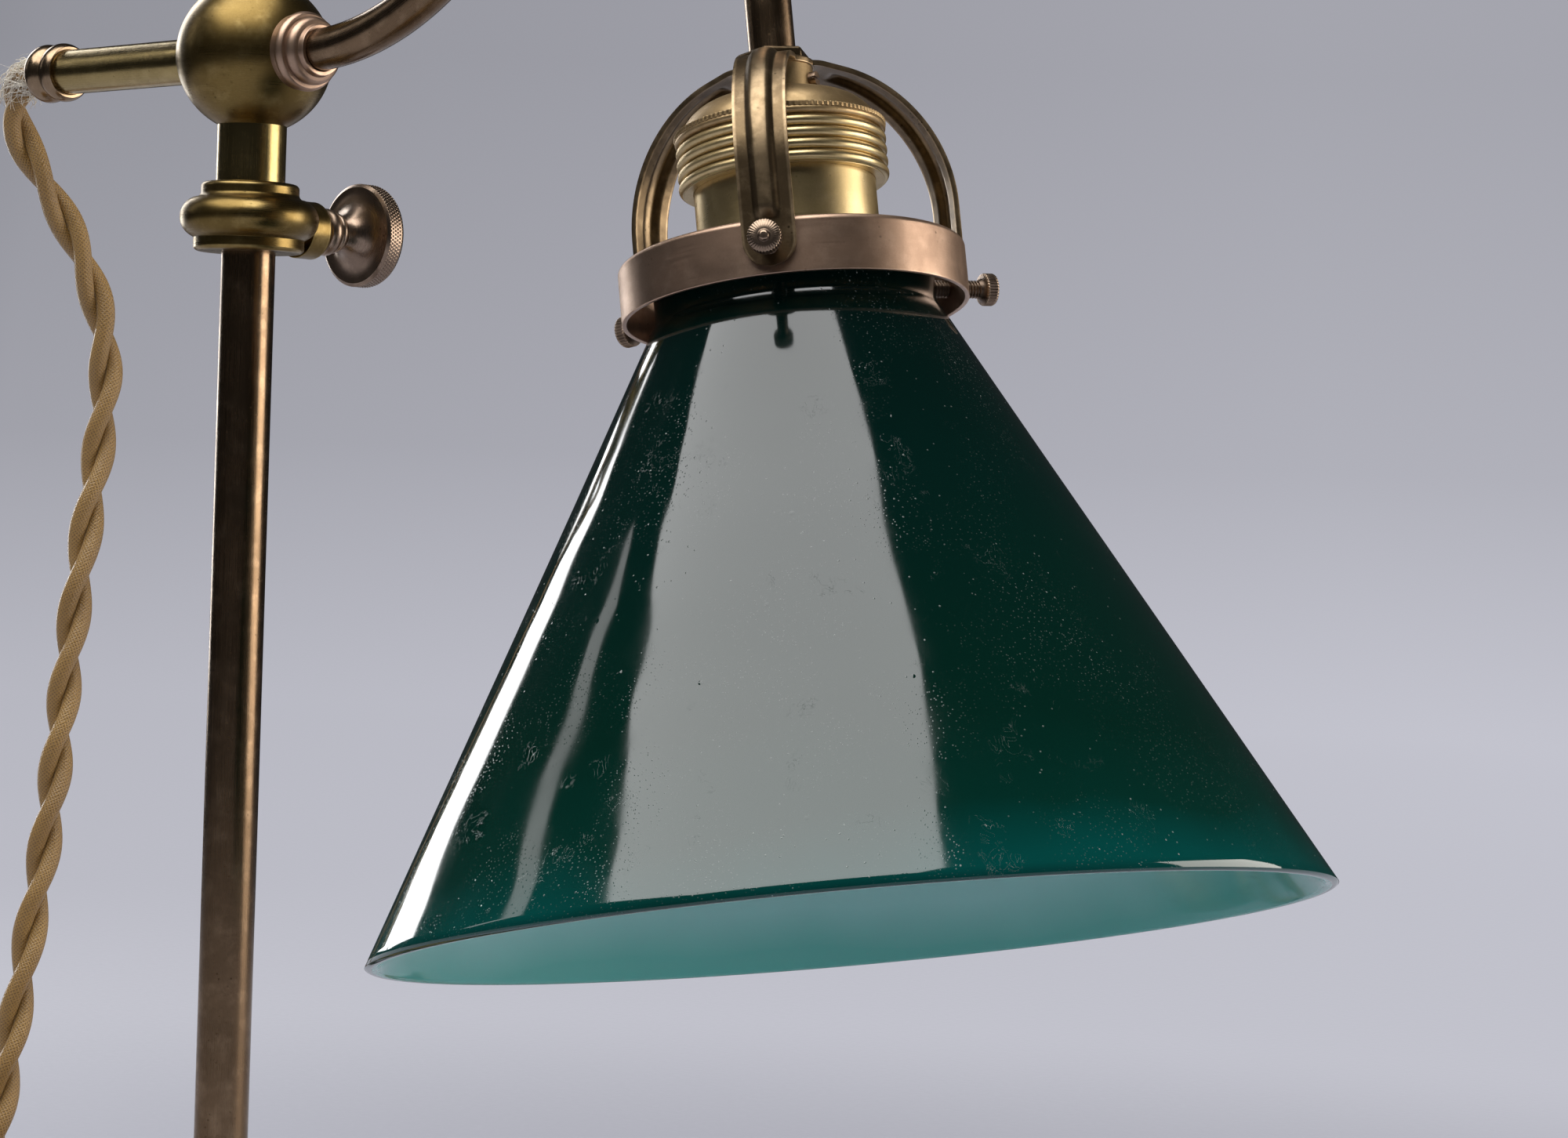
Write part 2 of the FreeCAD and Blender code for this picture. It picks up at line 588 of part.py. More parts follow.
# ---- gallery ------------------------------------------------------------------------------------
def strap_outline(offset):
    """A strap's centre line in the X-Z plane, moved outwards by an offset."""
    slope = math.radians(STRAP_SLOPE)
    hub = HUB_TOP - STRAP_THICK / 2
    reach = RING_R + STRAP_THICK / 2
    shoulder = hub - (STRAP_SHOULDER_R - HUB_R) * math.tan(slope)
    bend = (reach - STRAP_SHOULDER_R) / (1 - math.sin(slope))
    low = shoulder - bend * math.cos(slope)
    centre = (reach - bend, low)
    middle = (slope + math.pi / 2) / 2
    turn = bend + offset
    points = {
        "hub": (0.0, hub + offset),
        "hub_edge": (HUB_R + offset * math.tan(slope / 2), hub + offset),
        "bend_start": (centre[0] + turn * math.sin(slope), centre[1] + turn * math.cos(slope)),
        "bend_middle": (centre[0] + turn * math.sin(middle), centre[1] + turn * math.cos(middle)),
        "bend_end": (reach + offset, low),
        "foot": (reach + offset, STRAP_FOOT)}
    return points


def strap():
    """One strap of the spider, reaching out along +X, with its pressed rib."""
    half = STRAP_WIDTH / 2
    out = strap_outline(STRAP_THICK / 2)
    mid = strap_outline(0.0)
    back = strap_outline(-STRAP_THICK / 2)

    def slab(*steps):
        """An outline of (x, z) points and arcs, drawn out across the strap's width."""
        edges, _ = wire_of(steps[-1], steps, lambda x, z: V(x, -half, z))
        return Part.Face(Part.Wire(edges)).extrude(V(0, STRAP_WIDTH, 0))

    plate = slab(
        out["hub_edge"], out["bend_start"], (out["bend_middle"], out["bend_end"]), out["foot"],
        back["foot"], back["bend_end"], (back["bend_middle"], back["bend_start"]), back["hub_edge"],
        back["hub"], out["hub"])
    under = slab(
        back["hub_edge"], back["bend_start"], (back["bend_middle"], back["bend_end"]), back["foot"],
        (0.0, STRAP_FOOT), back["hub"])

    lead_in = RIB_SHARE * mid["bend_start"][0]
    rise = lead_in * math.tan(math.radians(STRAP_SLOPE))
    rib_start = (mid["bend_start"][0] - lead_in, mid["bend_start"][1] + rise)
    rib_foot = (mid["foot"][0], SCREW_HEIGHT + SCREW_HEAD_R + RIB_GAP)
    rib_steps = [mid["bend_start"], (mid["bend_middle"], mid["bend_end"]), rib_foot]
    rib_edges, _ = wire_of(rib_start, rib_steps, lambda x, z: V(x, 0, z))

    def round_bar(radius):
        first = V(rib_start[0], 0, rib_start[1])
        last = V(rib_foot[0], 0, rib_foot[1])
        section = Part.Wire(Part.makeCircle(radius, first, V(lead_in, 0, -rise)))
        bar = Part.Wire(rib_edges).makePipeShell([section], True, True)
        return bar.fuse([Part.makeSphere(radius, first), Part.makeSphere(radius, last)])

    return plate.fuse(round_bar(RIB_R)).cut(under).cut(round_bar(RIB_R - STRAP_THICK / 2))


def rounded_foot(shape):
    """Rounds the lower end of a strap that reaches out along +X."""
    half = STRAP_WIDTH / 2
    low = Part.makeBox(2 * half, STRAP_WIDTH, half, V(RING_R - half, -half, STRAP_FOOT))
    keep = rod(half, V(RING_R - half, 0, STRAP_FOOT + half), V(RING_R + half, 0, STRAP_FOOT + half))
    return shape.cut(low.cut(keep))


def turned_copy(shape, index):
    """A copy at one of the three places round the shade's axis."""
    out = shape.copy()
    out.rotate(V(0, 0, 0), V(0, 0, 1), screw_angle(index))
    return out


def screw_angle(index):
    return GALLERY_TURN + 180.0 + index * 360.0 / SCREW_COUNT


def screw_holes():
    hole = rod(SCREW_R + SCREW_CLEARANCE, V(NECK_R, 0, SCREW_HEIGHT), V(RING_R + 5, 0, SCREW_HEIGHT))
    return Part.makeCompound([turned_copy(hole, i) for i in range(SCREW_COUNT)])


def gallery_spider():
    hub = Part.makeCylinder(HUB_R, STRAP_THICK, V(0, 0, HUB_BOTTOM))
    arm = rounded_foot(strap())
    body = hub.fuse([turned_copy(arm, i) for i in range(SCREW_COUNT)])
    body = body.cut(Part.makeCylinder(ARM_R, 4 * STRAP_THICK, V(0, 0, HUB_TOP - 2 * STRAP_THICK)))
    return on_axis(body.cut(screw_holes()).removeSplitter())


def gallery_ring():
    inner = RING_R - RING_WALL
    ring = turned(
        (inner, 0), (RING_R, 0), (RING_R, RING_H - 1.2),
        ((RING_R - 0.35, RING_H - 0.35), (RING_R - 1.2, RING_H)),
        (RING_R - RING_LIP, RING_H), (RING_R - RING_LIP, RING_H - RING_WALL), (inner, RING_H - RING_WALL))
    return on_axis(ring.cut(screw_holes()))


def gallery_screw(index):
    tip = NECK_R + NECK_SCREW_GAP
    face = SCREW_HEAD_REACH
    back = face - SCREW_HEAD_THICK
    body = turned(
        (0, tip), (SCREW_R - 0.6, tip), (SCREW_R, tip + 0.6), (SCREW_R, back - 1.2),
        (SCREW_HEAD_R - 1.0, back), (SCREW_HEAD_R, back + 0.3), (SCREW_HEAD_R, face - 0.3),
        (SCREW_HEAD_R - 0.3, face), (1.1, face), ((0.9, face + 0.45), (0.5, face + 0.6)), (0, face + 0.6))
    body = knurled(body, SCREW_HEAD_R, back, SCREW_HEAD_THICK, SCREW_KNURLS, 0.25)
    return on_axis(turned_copy(along(body, V(1, 0, 0), V(0, 0, SCREW_HEIGHT)), index))


def arm_nut():
    r = ARM_NUT_ACROSS / 2
    top = HUB_TOP + ARM_NUT_H
    nut = hexagon(ARM_NUT_ACROSS, ARM_NUT_H, HUB_TOP, ARM_R)
    chamfer = turned((0, HUB_TOP), (r * 1.2, HUB_TOP), (r * 1.2, top - 0.9), (r * 0.98, top), (0, top))
    return on_axis(nut.common(chamfer))


# ---- lampholder ---------------------------------------------------------------------------------
def cap_form(inset):
    """The lampholder cap's outer form, or with an inset the hollow inside it."""
    rim = CAP_RIM_R - inset
    neck = HOLDER_NECK_R - inset
    low = NECK_LOW - inset
    shoulder = CAP_BOTTOM + CAP_RIM_H - inset
    return turned(
        (0, CAP_BOTTOM), (rim, CAP_BOTTOM), (rim, shoulder), (rim - 1.4, shoulder + 0.3),
        ((rim - 4.8, (shoulder + NECK_LOW) / 2 + 1.2), (neck + 2.6, low - 0.2)),
        (neck, low + 0.8), (neck, ARM_END), (0, ARM_END))


def holder_cap():
    neck = Part.makeCylinder(HOLDER_NECK_R, HUB_BOTTOM - ARM_END, V(0, 0, ARM_END))
    hollow = cap_form(CAP_WALL).common(Part.makeCylinder(CAP_RIM_R, NECK_LOW - 1.0))
    body = neck.fuse(cap_form(0)).removeSplitter().cut(hollow)
    body = knurled(body, CAP_RIM_R, CAP_BOTTOM, CAP_RIM_H, 72, 0.3)
    body = body.cut(Part.makeCylinder(ARM_R, HUB_BOTTOM - ARM_END, V(0, 0, ARM_END)))
    body = body.cut(Part.makeCylinder(ARM_R - ARM_WALL, ARM_END, V(0, 0, 0)))
    grub = rod(GRUB_R, V(ARM_R, 0, GRUB_Z), V(HOLDER_NECK_R + 1, 0, GRUB_Z))
    grub.rotate(V(0, 0, 0), V(0, 0, 1), GRUB_ANGLE)
    return on_axis(body.cut(grub))


def holder_grub_screw():
    screw = rod(GRUB_R, V(ARM_R, 0, GRUB_Z), V(HOLDER_NECK_R + 1.4, 0, GRUB_Z))
    slot = Part.makeBox(1.0, 4.0, 0.5, V(HOLDER_NECK_R + 0.8, -2.0, GRUB_Z - 0.25))
    screw = screw.cut(slot)
    screw.rotate(V(0, 0, 0), V(0, 0, 1), GRUB_ANGLE)
    return on_axis(screw)


def holder_shade_ring():
    pitch = SHADE_RING_H / SHADE_RING_BEADS
    r = SHADE_RING_R
    steps = [(r - 0.9, SHADE_RING_BOTTOM)]
    for i in range(SHADE_RING_BEADS):
        low = SHADE_RING_BOTTOM + i * pitch
        steps.append(((r, low + pitch / 2), (r - 0.9, low + pitch)))
    steps.append((BARREL_R, CAP_BOTTOM))
    return on_axis(turned((BARREL_R, SHADE_RING_BOTTOM), *steps))


def holder_barrel():
    return on_axis(pipe(BARREL_R, BARREL_R - BARREL_WALL, BARREL_BOTTOM, CAP_BOTTOM))


def holder_core():
    outer = BARREL_R - BARREL_WALL
    low = BARREL_BOTTOM + 3.0
    core = Part.makeCylinder(outer, CORE_TOP - low, V(0, 0, low))
    return on_axis(core.cut(Part.makeCylinder(SHELL_R + SHELL_WALL, CORE_FLOOR - low, V(0, 0, low))))


def holder_screw_shell():
    return on_axis(pipe(SHELL_R + SHELL_WALL, SHELL_R, BARREL_BOTTOM + 4.0, CORE_FLOOR))


def holder_contact():
    return on_axis(Part.makeCylinder(CONTACT_R, CONTACT_H, V(0, 0, CONTACT_BOTTOM)))


def holder_terminals():
    screws = []
    for side in (-1, 1):
        shank = Part.makeCylinder(TERMINAL_R, 2.0, V(side * TERMINAL_X, 0, CORE_TOP))
        head = Part.makeCylinder(TERMINAL_R * 1.8, 1.6, V(side * TERMINAL_X, 0, CORE_TOP + 2.0))
        screws.append(shank.fuse(head))
    return on_axis(Part.makeCompound(screws))


# ---- bulb ---------------------------------------------------------------------------------------
def bulb_form(inset):
    r = BULB_R - inset
    centre = BULB_TOP - BULB_LENGTH + BULB_R
    neck = BULB_CAP_R - 0.7 - inset
    join = math.radians(33.0)
    join_r = r * math.cos(join)
    join_z = centre + r * math.sin(join)
    side = math.radians(-28.0)
    return turned(
        (0, STEM_TOP), (neck, STEM_TOP), (neck, BULB_CAP_BOTTOM - 2.0),
        ((neck + 3.6, BULB_CAP_BOTTOM - 15.0), (join_r, join_z)),
        ((r * math.cos(side), centre + r * math.sin(side)), (0, centre - r)))


def bulb_glass():
    return on_axis(bulb_form(0).cut(bulb_form(BULB_WALL)))


def bulb_cap():
    top = BULB_TOP - TIP_H
    r = BULB_CAP_R
    shell = turned(
        (r - 0.7, BULB_CAP_BOTTOM), (r, BULB_CAP_BOTTOM), (r, top - 4.0), (r - 3.0, top - 1.2), (TIP_R, top),
        (0, top), (0, top - 2.0), (r - 4.0, top - 3.2), (r - 0.7, top - 5.0))
    return on_axis(shell)


def bulb_tip():
    return on_axis(turned(
        (0, BULB_TOP - TIP_H), (TIP_R, BULB_TOP - TIP_H),
        ((TIP_R - 1.0, BULB_TOP - 0.5), (TIP_R - 2.5, BULB_TOP)), (0, BULB_TOP)))


def stem_form():
    top = STEM_TOP
    neck = BULB_CAP_R - 0.7 - BULB_WALL
    low = top - STEM_LENGTH
    return turned(
        (0, top), (neck, top), (neck, top - 1.0), ((neck * 0.5, top - 8.0), (STEM_R, top - 18.0)),
        (STEM_R, low + 1.5), ((STEM_R * 0.77, low + 0.4), (STEM_R * 0.3, low)), (0, low))


def bulb_stem():
    return on_axis(stem_form())


def bulb_filament():
    low = STEM_TOP - STEM_LENGTH
    ring_z = low - FILAMENT_R
    ring = Part.makeTorus(FILAMENT_R, FILAMENT_WIRE_R, V(0, 0, ring_z))
    legs = []
    for side in (-1, 1):
        foot = V(side * STEM_R * 0.6, 0, low + 2.0)
        legs.append(rod(FILAMENT_WIRE_R, foot, V(side * FILAMENT_R, 0, ring_z)))
    return on_axis(ring.fuse(legs).cut(stem_form()))


# ---- shade --------------------------------------------------------------------------------------
def shade():
    w = SHADE_WALL
    angle = math.atan2(SHADE_R - NECK_R, SHADE_DROP)
    flat = w / math.cos(angle)
    low = -SHADE_DROP
    top = NECK_TOP
    return on_axis(turned(
        (NECK_R - w, top - 0.6), ((NECK_R - w + 0.6, top - 0.15), (NECK_R - w + 1.4, top)),
        (NECK_LIP_R - 1.0, top), ((NECK_LIP_R, top - 1.0), (NECK_LIP_R - 0.7, top - 2.0)),
        (NECK_R, top - NECK_LIP_H),
        (NECK_R, 0.4), ((NECK_R + 0.35, -1.2), (NECK_R + 1.3, -2.8)), (SHADE_R - 0.25, low + 0.5),
        ((SHADE_R - flat / 2, low), (SHADE_R - flat + 0.3, low + 0.5)),
        (NECK_R - w + 2.0, -4.4), ((NECK_R - w + 0.5, -2.0), (NECK_R - w, 0.4))))


# ---- cord, switch and plug ----------------------------------------------------------------------
def drop_route():
    points = [BALL + V(x - REAR_END, y, z * BALL_Z / DROP_SET_OUT) for x, y, z in DROP_POINTS]
    return points + [p + V(0, 0, CORD_Z) for p in TABLE_POINTS]


def lead_route():
    points = [SWITCH_END, SWITCH_END + SWITCH_AXIS * LEAD_START] + LEAD_POINTS
    return [p + V(0, 0, CORD_Z) for p in points]


def tail_route():
    climb = PLUG_R + TABLE_LIFT - TAIL_Z
    return [TAIL_START + V(x, y, share * climb) for (x, y), share in zip(TAIL_POINTS, TAIL_RISE)]


def cord_drop():
    return cord_tube("cord_drop", drop_route())


def cord_lead():
    return cord_tube("cord_lead", lead_route())


def cord_tail():
    return cord_tube("cord_tail", tail_route())


def cord_coil():
    low = COIL_LIFT
    half = COIL_WIDTH / 2
    corner = CORD_R
    cut = corner * (1 - math.sqrt(0.5))
    inner = COIL_R - half
    outer = COIL_R + half
    top = low + COIL_H
    ring = turned(
        (inner + corner, low), (outer - corner, low), ((outer - cut, low + cut), (outer, low + corner)),
        (outer, top - corner), ((outer - cut, top - cut), (outer - corner, top)), (inner + corner, top),
        ((inner + cut, top - cut), (inner, top - corner)), (inner, low + corner),
        ((inner + cut, low + cut), (inner + corner, low)))
    ring.translate(COIL_CENTRE)
    return ring


def coil_tie():
    half = COIL_WIDTH / 2
    low = COIL_LIFT
    outer = Part.makeBox(COIL_WIDTH + 2 * TIE_THICK, TIE_WIDTH, COIL_H + 2 * TIE_THICK,
                         V(COIL_R - half - TIE_THICK, -TIE_WIDTH / 2, low - TIE_THICK))
    outer = outer.makeFillet(CORD_R, [e for e in outer.Edges if abs(e.tangentAt(0).y) > 0.9])
    inner = Part.makeBox(COIL_WIDTH, TIE_WIDTH, COIL_H, V(COIL_R - half, -TIE_WIDTH / 2, low))
    inner = inner.makeFillet(CORD_R - TIE_THICK / 2, [e for e in inner.Edges if abs(e.tangentAt(0).y) > 0.9])
    tie = outer.cut(inner)
    tie.rotate(V(0, 0, 0), V(0, 0, 1), TIE_ANGLE)
    tie.translate(COIL_CENTRE)
    return tie


def on_switch(shape):
    """Moves a shape built along +X from the origin to the switch's place on the table."""
    out = shape.copy()
    turn = FreeCAD.Rotation(V(1, 0, 0), SWITCH_AXIS)
    out.Placement = FreeCAD.Placement(SWITCH_START, turn).multiply(out.Placement)
    return out


def switch_block(inset):
    """The switch's whole outer form, or with an inset the hollow inside it."""
    length = SWITCH_LENGTH - 2 * inset
    width = SWITCH_WIDTH - 2 * inset
    height = SWITCH_H - TABLE_LIFT - 2 * inset
    block = Part.makeBox(length, width, height, V(inset, -width / 2, TABLE_LIFT + inset))
    upright = [e for e in block.Edges if abs(e.tangentAt(0).z) > 0.9]
    block = block.makeFillet(SWITCH_CORNER_R - inset, upright)
    if inset > 0:
        return block
    level = [e for e in block.Edges if e.BoundBox.ZLength < 0.01]
    return block.makeFillet(SWITCH_EDGE_R, level)


def screw_places():
    return [SWITCH_MIDDLE + side * SWITCH_SCREW_X for side in (-1, 1)]


def switch_half(low, high):
    """The part of the hollow block between two heights, with its screw pillars."""
    band = Part.makeBox(SWITCH_LENGTH, SWITCH_WIDTH, high - low, V(0, -SWITCH_WIDTH / 2, low))
    shell = switch_block(0).cut(switch_block(SWITCH_WALL)).common(band)
    pillars = []
    for x in screw_places():
        pillars.append(Part.makeCylinder(PILLAR_R, high - low, V(x, 0, low)).common(switch_block(0)))
    return shell.fuse(pillars).removeSplitter()


def screw_solid(x):
    shank = Part.makeCylinder(SWITCH_SCREW_R, 12.0, V(x, 0, 2.5))
    return shank.fuse(Part.makeCylinder(SWITCH_SCREW_R * 2, 2.5, V(x, 0, 0.4)))


def switch_base():
    half = switch_half(TABLE_LIFT, SWITCH_SPLIT)
    for x in screw_places():
        half = half.cut(screw_solid(x)).cut(Part.makeCylinder(SWITCH_SCREW_R * 2, 1.0, V(x, 0, 0)))
    return on_switch(half)


def switch_cover():
    half = switch_half(SWITCH_SPLIT, SWITCH_H)
    slot = Part.makeBox(2 * SLOT_HALF, ROCKER_WIDTH + 2 * ROCKER_GAP, SWITCH_H,
                        V(SWITCH_MIDDLE - SLOT_HALF, -ROCKER_WIDTH / 2 - ROCKER_GAP, SWITCH_SPLIT))
    half = half.cut(slot)
    inner = ROCKER_WIDTH / 2 + ROCKER_GAP
    cheek_h = SWITCH_H - SWITCH_WALL - SWITCH_SPLIT
    for y in (-inner - CHEEK_THICK, inner):
        corner = V(SWITCH_MIDDLE - CHEEK_LENGTH / 2, y, SWITCH_SPLIT)
        half = half.fuse(Part.makeBox(CHEEK_LENGTH, CHEEK_THICK, cheek_h, corner))
    half = half.cut(pin_solid())
    for x in screw_places():
        half = half.cut(screw_solid(x))
    return on_switch(half.removeSplitter())


def pin_solid():
    reach = ROCKER_WIDTH / 2 + ROCKER_GAP + CHEEK_THICK
    middle = V(SWITCH_MIDDLE, 0, ROCKER_PIN_Z)
    return rod(ROCKER_PIN_R, middle - V(0, reach, 0), middle + V(0, reach, 0))


def switch_pin():
    return on_switch(pin_solid())


def switch_rocker():
    half = ROCKER_WIDTH / 2
    pin = V(SWITCH_MIDDLE, 0, ROCKER_PIN_Z)
    left = pin - V(0, half, 0)
    right = pin + V(0, half, 0)
    wing = math.radians(ROCKER_WING)
    crown = ROCKER_R * math.sin(wing)
    edge = ROCKER_R * math.cos(wing)
    profile = [(-ROCKER_R, -1.5), (ROCKER_R, -1.5), (ROCKER_R, crown + 2.0), (edge, crown), (0, crown - 1.6),
               (-edge, crown), (-ROCKER_R, crown + 2.0), (-ROCKER_R, -1.5)]
    outline = Part.makePolygon([V(x, -half, z) for x, z in profile])
    wedge = Part.Face(outline).extrude(V(0, ROCKER_WIDTH, 0))
    wedge.translate(pin)
    body = rod(ROCKER_R, left, right).common(wedge)
    body = body.fuse(rod(ROCKER_BOSS_R, left, right)).removeSplitter()
    body = body.cut(rod(ROCKER_PIN_R + ROCKER_PIN_GAP, left, right))
    body.rotate(pin, V(0, 1, 0), ROCKER_TILT)
    return on_switch(body)


def switch_screws():
    return on_switch(Part.makeCompound([screw_solid(x) for x in screw_places()]))


def on_plug(shape):
    """Moves a shape built along +Z from the origin to the plug's place at the end of the cord."""
    route = tail_route()
    heading = (route[-1] - route[-2]).normalize()
    return along(shape, heading, V(route[-1].x, route[-1].y, PLUG_R + TABLE_LIFT))


def plug_body():
    r = PLUG_R
    end = PLUG_LENGTH
    body = turned(
        (0, 0), (PLUG_NECK_R - 1.0, 0), ((PLUG_NECK_R - 0.3, 0.3), (PLUG_NECK_R, 1.0)), (PLUG_NECK_R, 6.0),
        ((PLUG_NECK_R + 2.0, 10.5), (r - 5.0, 14.5)), ((r - 1.4, 17.6), (r - 0.6, 22.0)),
        (r - 0.6, end - 7.0), (r, end - 6.0), (r, end - 1.0),
        ((r - 0.3, end - 0.3), (r - 1.0, end)), (0, end))
    for side in (-1, 1):
        foot = V(side * PIN_SPACING / 2, 0, end - PIN_ROOT)
        body = body.cut(Part.makeCylinder(PIN_R, PIN_ROOT, foot))
    body = body.cut(Part.makeCylinder(PLUG_SCREW_R, PLUG_SCREW_HOLE, V(0, 0, end - PLUG_SCREW_HOLE)))
    return on_plug(body)


def plug_pins():
    pins = []
    low = PLUG_LENGTH - PIN_ROOT
    top = PLUG_LENGTH + PIN_LENGTH
    for side in (-1, 1):
        pin = turned(
            (0, low), (PIN_R, low), (PIN_R, top - 1.2),
            ((PIN_R - 0.35, top - 0.35), (PIN_R - 1.2, top)), (0, top))
        pin.translate(V(side * PIN_SPACING / 2, 0, 0))
        pins.append(pin)
    return on_plug(Part.makeCompound(pins))


def plug_screw():
    low = PLUG_LENGTH - PLUG_SCREW_HOLE
    screw = Part.makeCylinder(PLUG_SCREW_R, PLUG_SCREW_HOLE - PLUG_SCREW_SUNK, V(0, 0, low))
    slot = Part.makeBox(5.0, 0.7, 1.0, V(-2.5, -0.35, PLUG_LENGTH - 2 * PLUG_SCREW_SUNK))
    return on_plug(screw.cut(slot))


# ---- all the nodes ------------------------------------------------------------------------------
NODES = {
    "base_cover": base_cover, "base_weight": base_weight, "base_felt": base_felt, "base_washer": base_washer,
    "foot_nut": foot_nut, "post_stud": post_stud, "post_tube": post_tube, "foot_collar": foot_collar,
    "post_finial": post_finial, "clamp_collar": clamp_collar, "clamp_screw": clamp_screw,
    "slide_sleeve": slide_sleeve, "ball_shell": ball_shell, "ball_neck_ring": ball_neck_ring,
    "rear_tube": rear_tube, "rear_ferrule": rear_ferrule, "cord_bush": cord_bush, "arm_collar": arm_collar,
    "arm_tube": arm_tube, "arm_nut": arm_nut, "inner_lead": inner_lead, "gallery_spider": gallery_spider,
    "gallery_ring": gallery_ring, "holder_cap": holder_cap, "holder_grub_screw": holder_grub_screw,
    "holder_shade_ring": holder_shade_ring, "holder_barrel": holder_barrel, "holder_core": holder_core,
    "holder_screw_shell": holder_screw_shell, "holder_contact": holder_contact,
    "holder_terminals": holder_terminals, "bulb_glass": bulb_glass, "bulb_cap": bulb_cap,
    "bulb_tip": bulb_tip, "bulb_stem": bulb_stem, "bulb_filament": bulb_filament, "shade": shade,
    "cord_drop": cord_drop, "cord_lead": cord_lead, "cord_coil": cord_coil, "coil_tie": coil_tie,
    "cord_tail": cord_tail,
    "switch_base": switch_base, "switch_cover": switch_cover, "switch_pin": switch_pin,
    "switch_rocker": switch_rocker, "switch_screws": switch_screws, "plug_body": plug_body,
    "plug_pins": plug_pins, "plug_screw": plug_screw}


def main():
    os.makedirs("parts", exist_ok=True)
    shapes = {name: make() for name, make in NODES.items()}
    for index in range(SCREW_COUNT):
        shapes["gallery_screw_%d" % (index + 1)] = gallery_screw(index)
    for name, shape in shapes.items():
        shape.exportStep("parts/%s.step" % name)
        print(name, "solids %d" % len(shape.Solids), "valid %s" % shape.isValid(),
              "volume %.0f" % shape.Volume)


main()
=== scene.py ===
"""Looks for the brass desk lamp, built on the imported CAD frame. Metres, +Z up."""
import json
import math
import random

import bmesh
import bpy
import numpy as np
from mathutils import Matrix, Vector


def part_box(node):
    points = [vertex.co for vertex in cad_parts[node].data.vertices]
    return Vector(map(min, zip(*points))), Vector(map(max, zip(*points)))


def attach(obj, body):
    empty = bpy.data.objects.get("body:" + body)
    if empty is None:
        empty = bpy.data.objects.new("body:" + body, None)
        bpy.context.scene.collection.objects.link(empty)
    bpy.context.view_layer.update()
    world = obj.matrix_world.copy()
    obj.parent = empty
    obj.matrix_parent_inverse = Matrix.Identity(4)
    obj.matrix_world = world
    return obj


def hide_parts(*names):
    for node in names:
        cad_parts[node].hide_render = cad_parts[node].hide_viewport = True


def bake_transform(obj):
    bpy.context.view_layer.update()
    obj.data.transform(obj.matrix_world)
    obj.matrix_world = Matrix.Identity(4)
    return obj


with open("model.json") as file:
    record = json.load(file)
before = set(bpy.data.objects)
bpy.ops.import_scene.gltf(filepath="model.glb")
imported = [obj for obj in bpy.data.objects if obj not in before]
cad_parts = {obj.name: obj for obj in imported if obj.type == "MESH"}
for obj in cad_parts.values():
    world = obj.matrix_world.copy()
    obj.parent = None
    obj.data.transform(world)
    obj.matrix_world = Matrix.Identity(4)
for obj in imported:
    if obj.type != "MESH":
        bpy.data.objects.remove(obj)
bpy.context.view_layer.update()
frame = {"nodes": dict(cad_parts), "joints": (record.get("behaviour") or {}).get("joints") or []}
MM = 0.001
NODES = frame["nodes"]
JOINTS = {j["name"]: j for j in frame["joints"]}
rng = random.Random(7)


# ---- places taken from the frame ----------------------------------------------------------------
def centre(node):
    low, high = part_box(node)
    return (low + high) / 2


def frame_at(origin, z_axis, x_hint):
    """A matrix with its Z along z_axis and its X near x_hint."""
    z = Vector(z_axis).normalized()
    y = z.cross(Vector(x_hint)).normalized()
    x = y.cross(z)
    turn = Matrix((x, y, z)).transposed().to_4x4()
    return Matrix.Translation(Vector(origin)) @ turn


BALL = Vector((0, 0, centre("ball_shell").z))
SCREW_AXES = [Vector(JOINTS["gallery_screw_%d_turn" % k]["axis"]) for k in (1, 2, 3)]
SCREW_POINTS = [Vector(JOINTS["gallery_screw_%d_turn" % k]["pos_m"]) for k in (1, 2, 3)]
SHADE_UP = SCREW_AXES[0].cross(SCREW_AXES[1]).normalized()
SCREW_HEIGHT = 5.6
RING = SCREW_POINTS[0] - SCREW_AXES[0] * 0.040 - SHADE_UP * SCREW_HEIGHT * MM
WORLD = Matrix.Identity(4)
HEAD = Matrix.Translation(BALL)
SHADE = frame_at(RING, SHADE_UP, (1, 0, 0))
REAR = frame_at(BALL, (-1, 0, 0), (0, 0, 1))
FRONT = frame_at(BALL, (1, 0, 0), (0, 0, 1))
CLAMP = frame_at(Vector(JOINTS["clamp_turn"]["pos_m"]) * 1.0, (0, 1, 0), (0, 0, 1))
CLAMP.translation = Vector((0, 0, JOINTS["clamp_turn"]["pos_m"][2]))


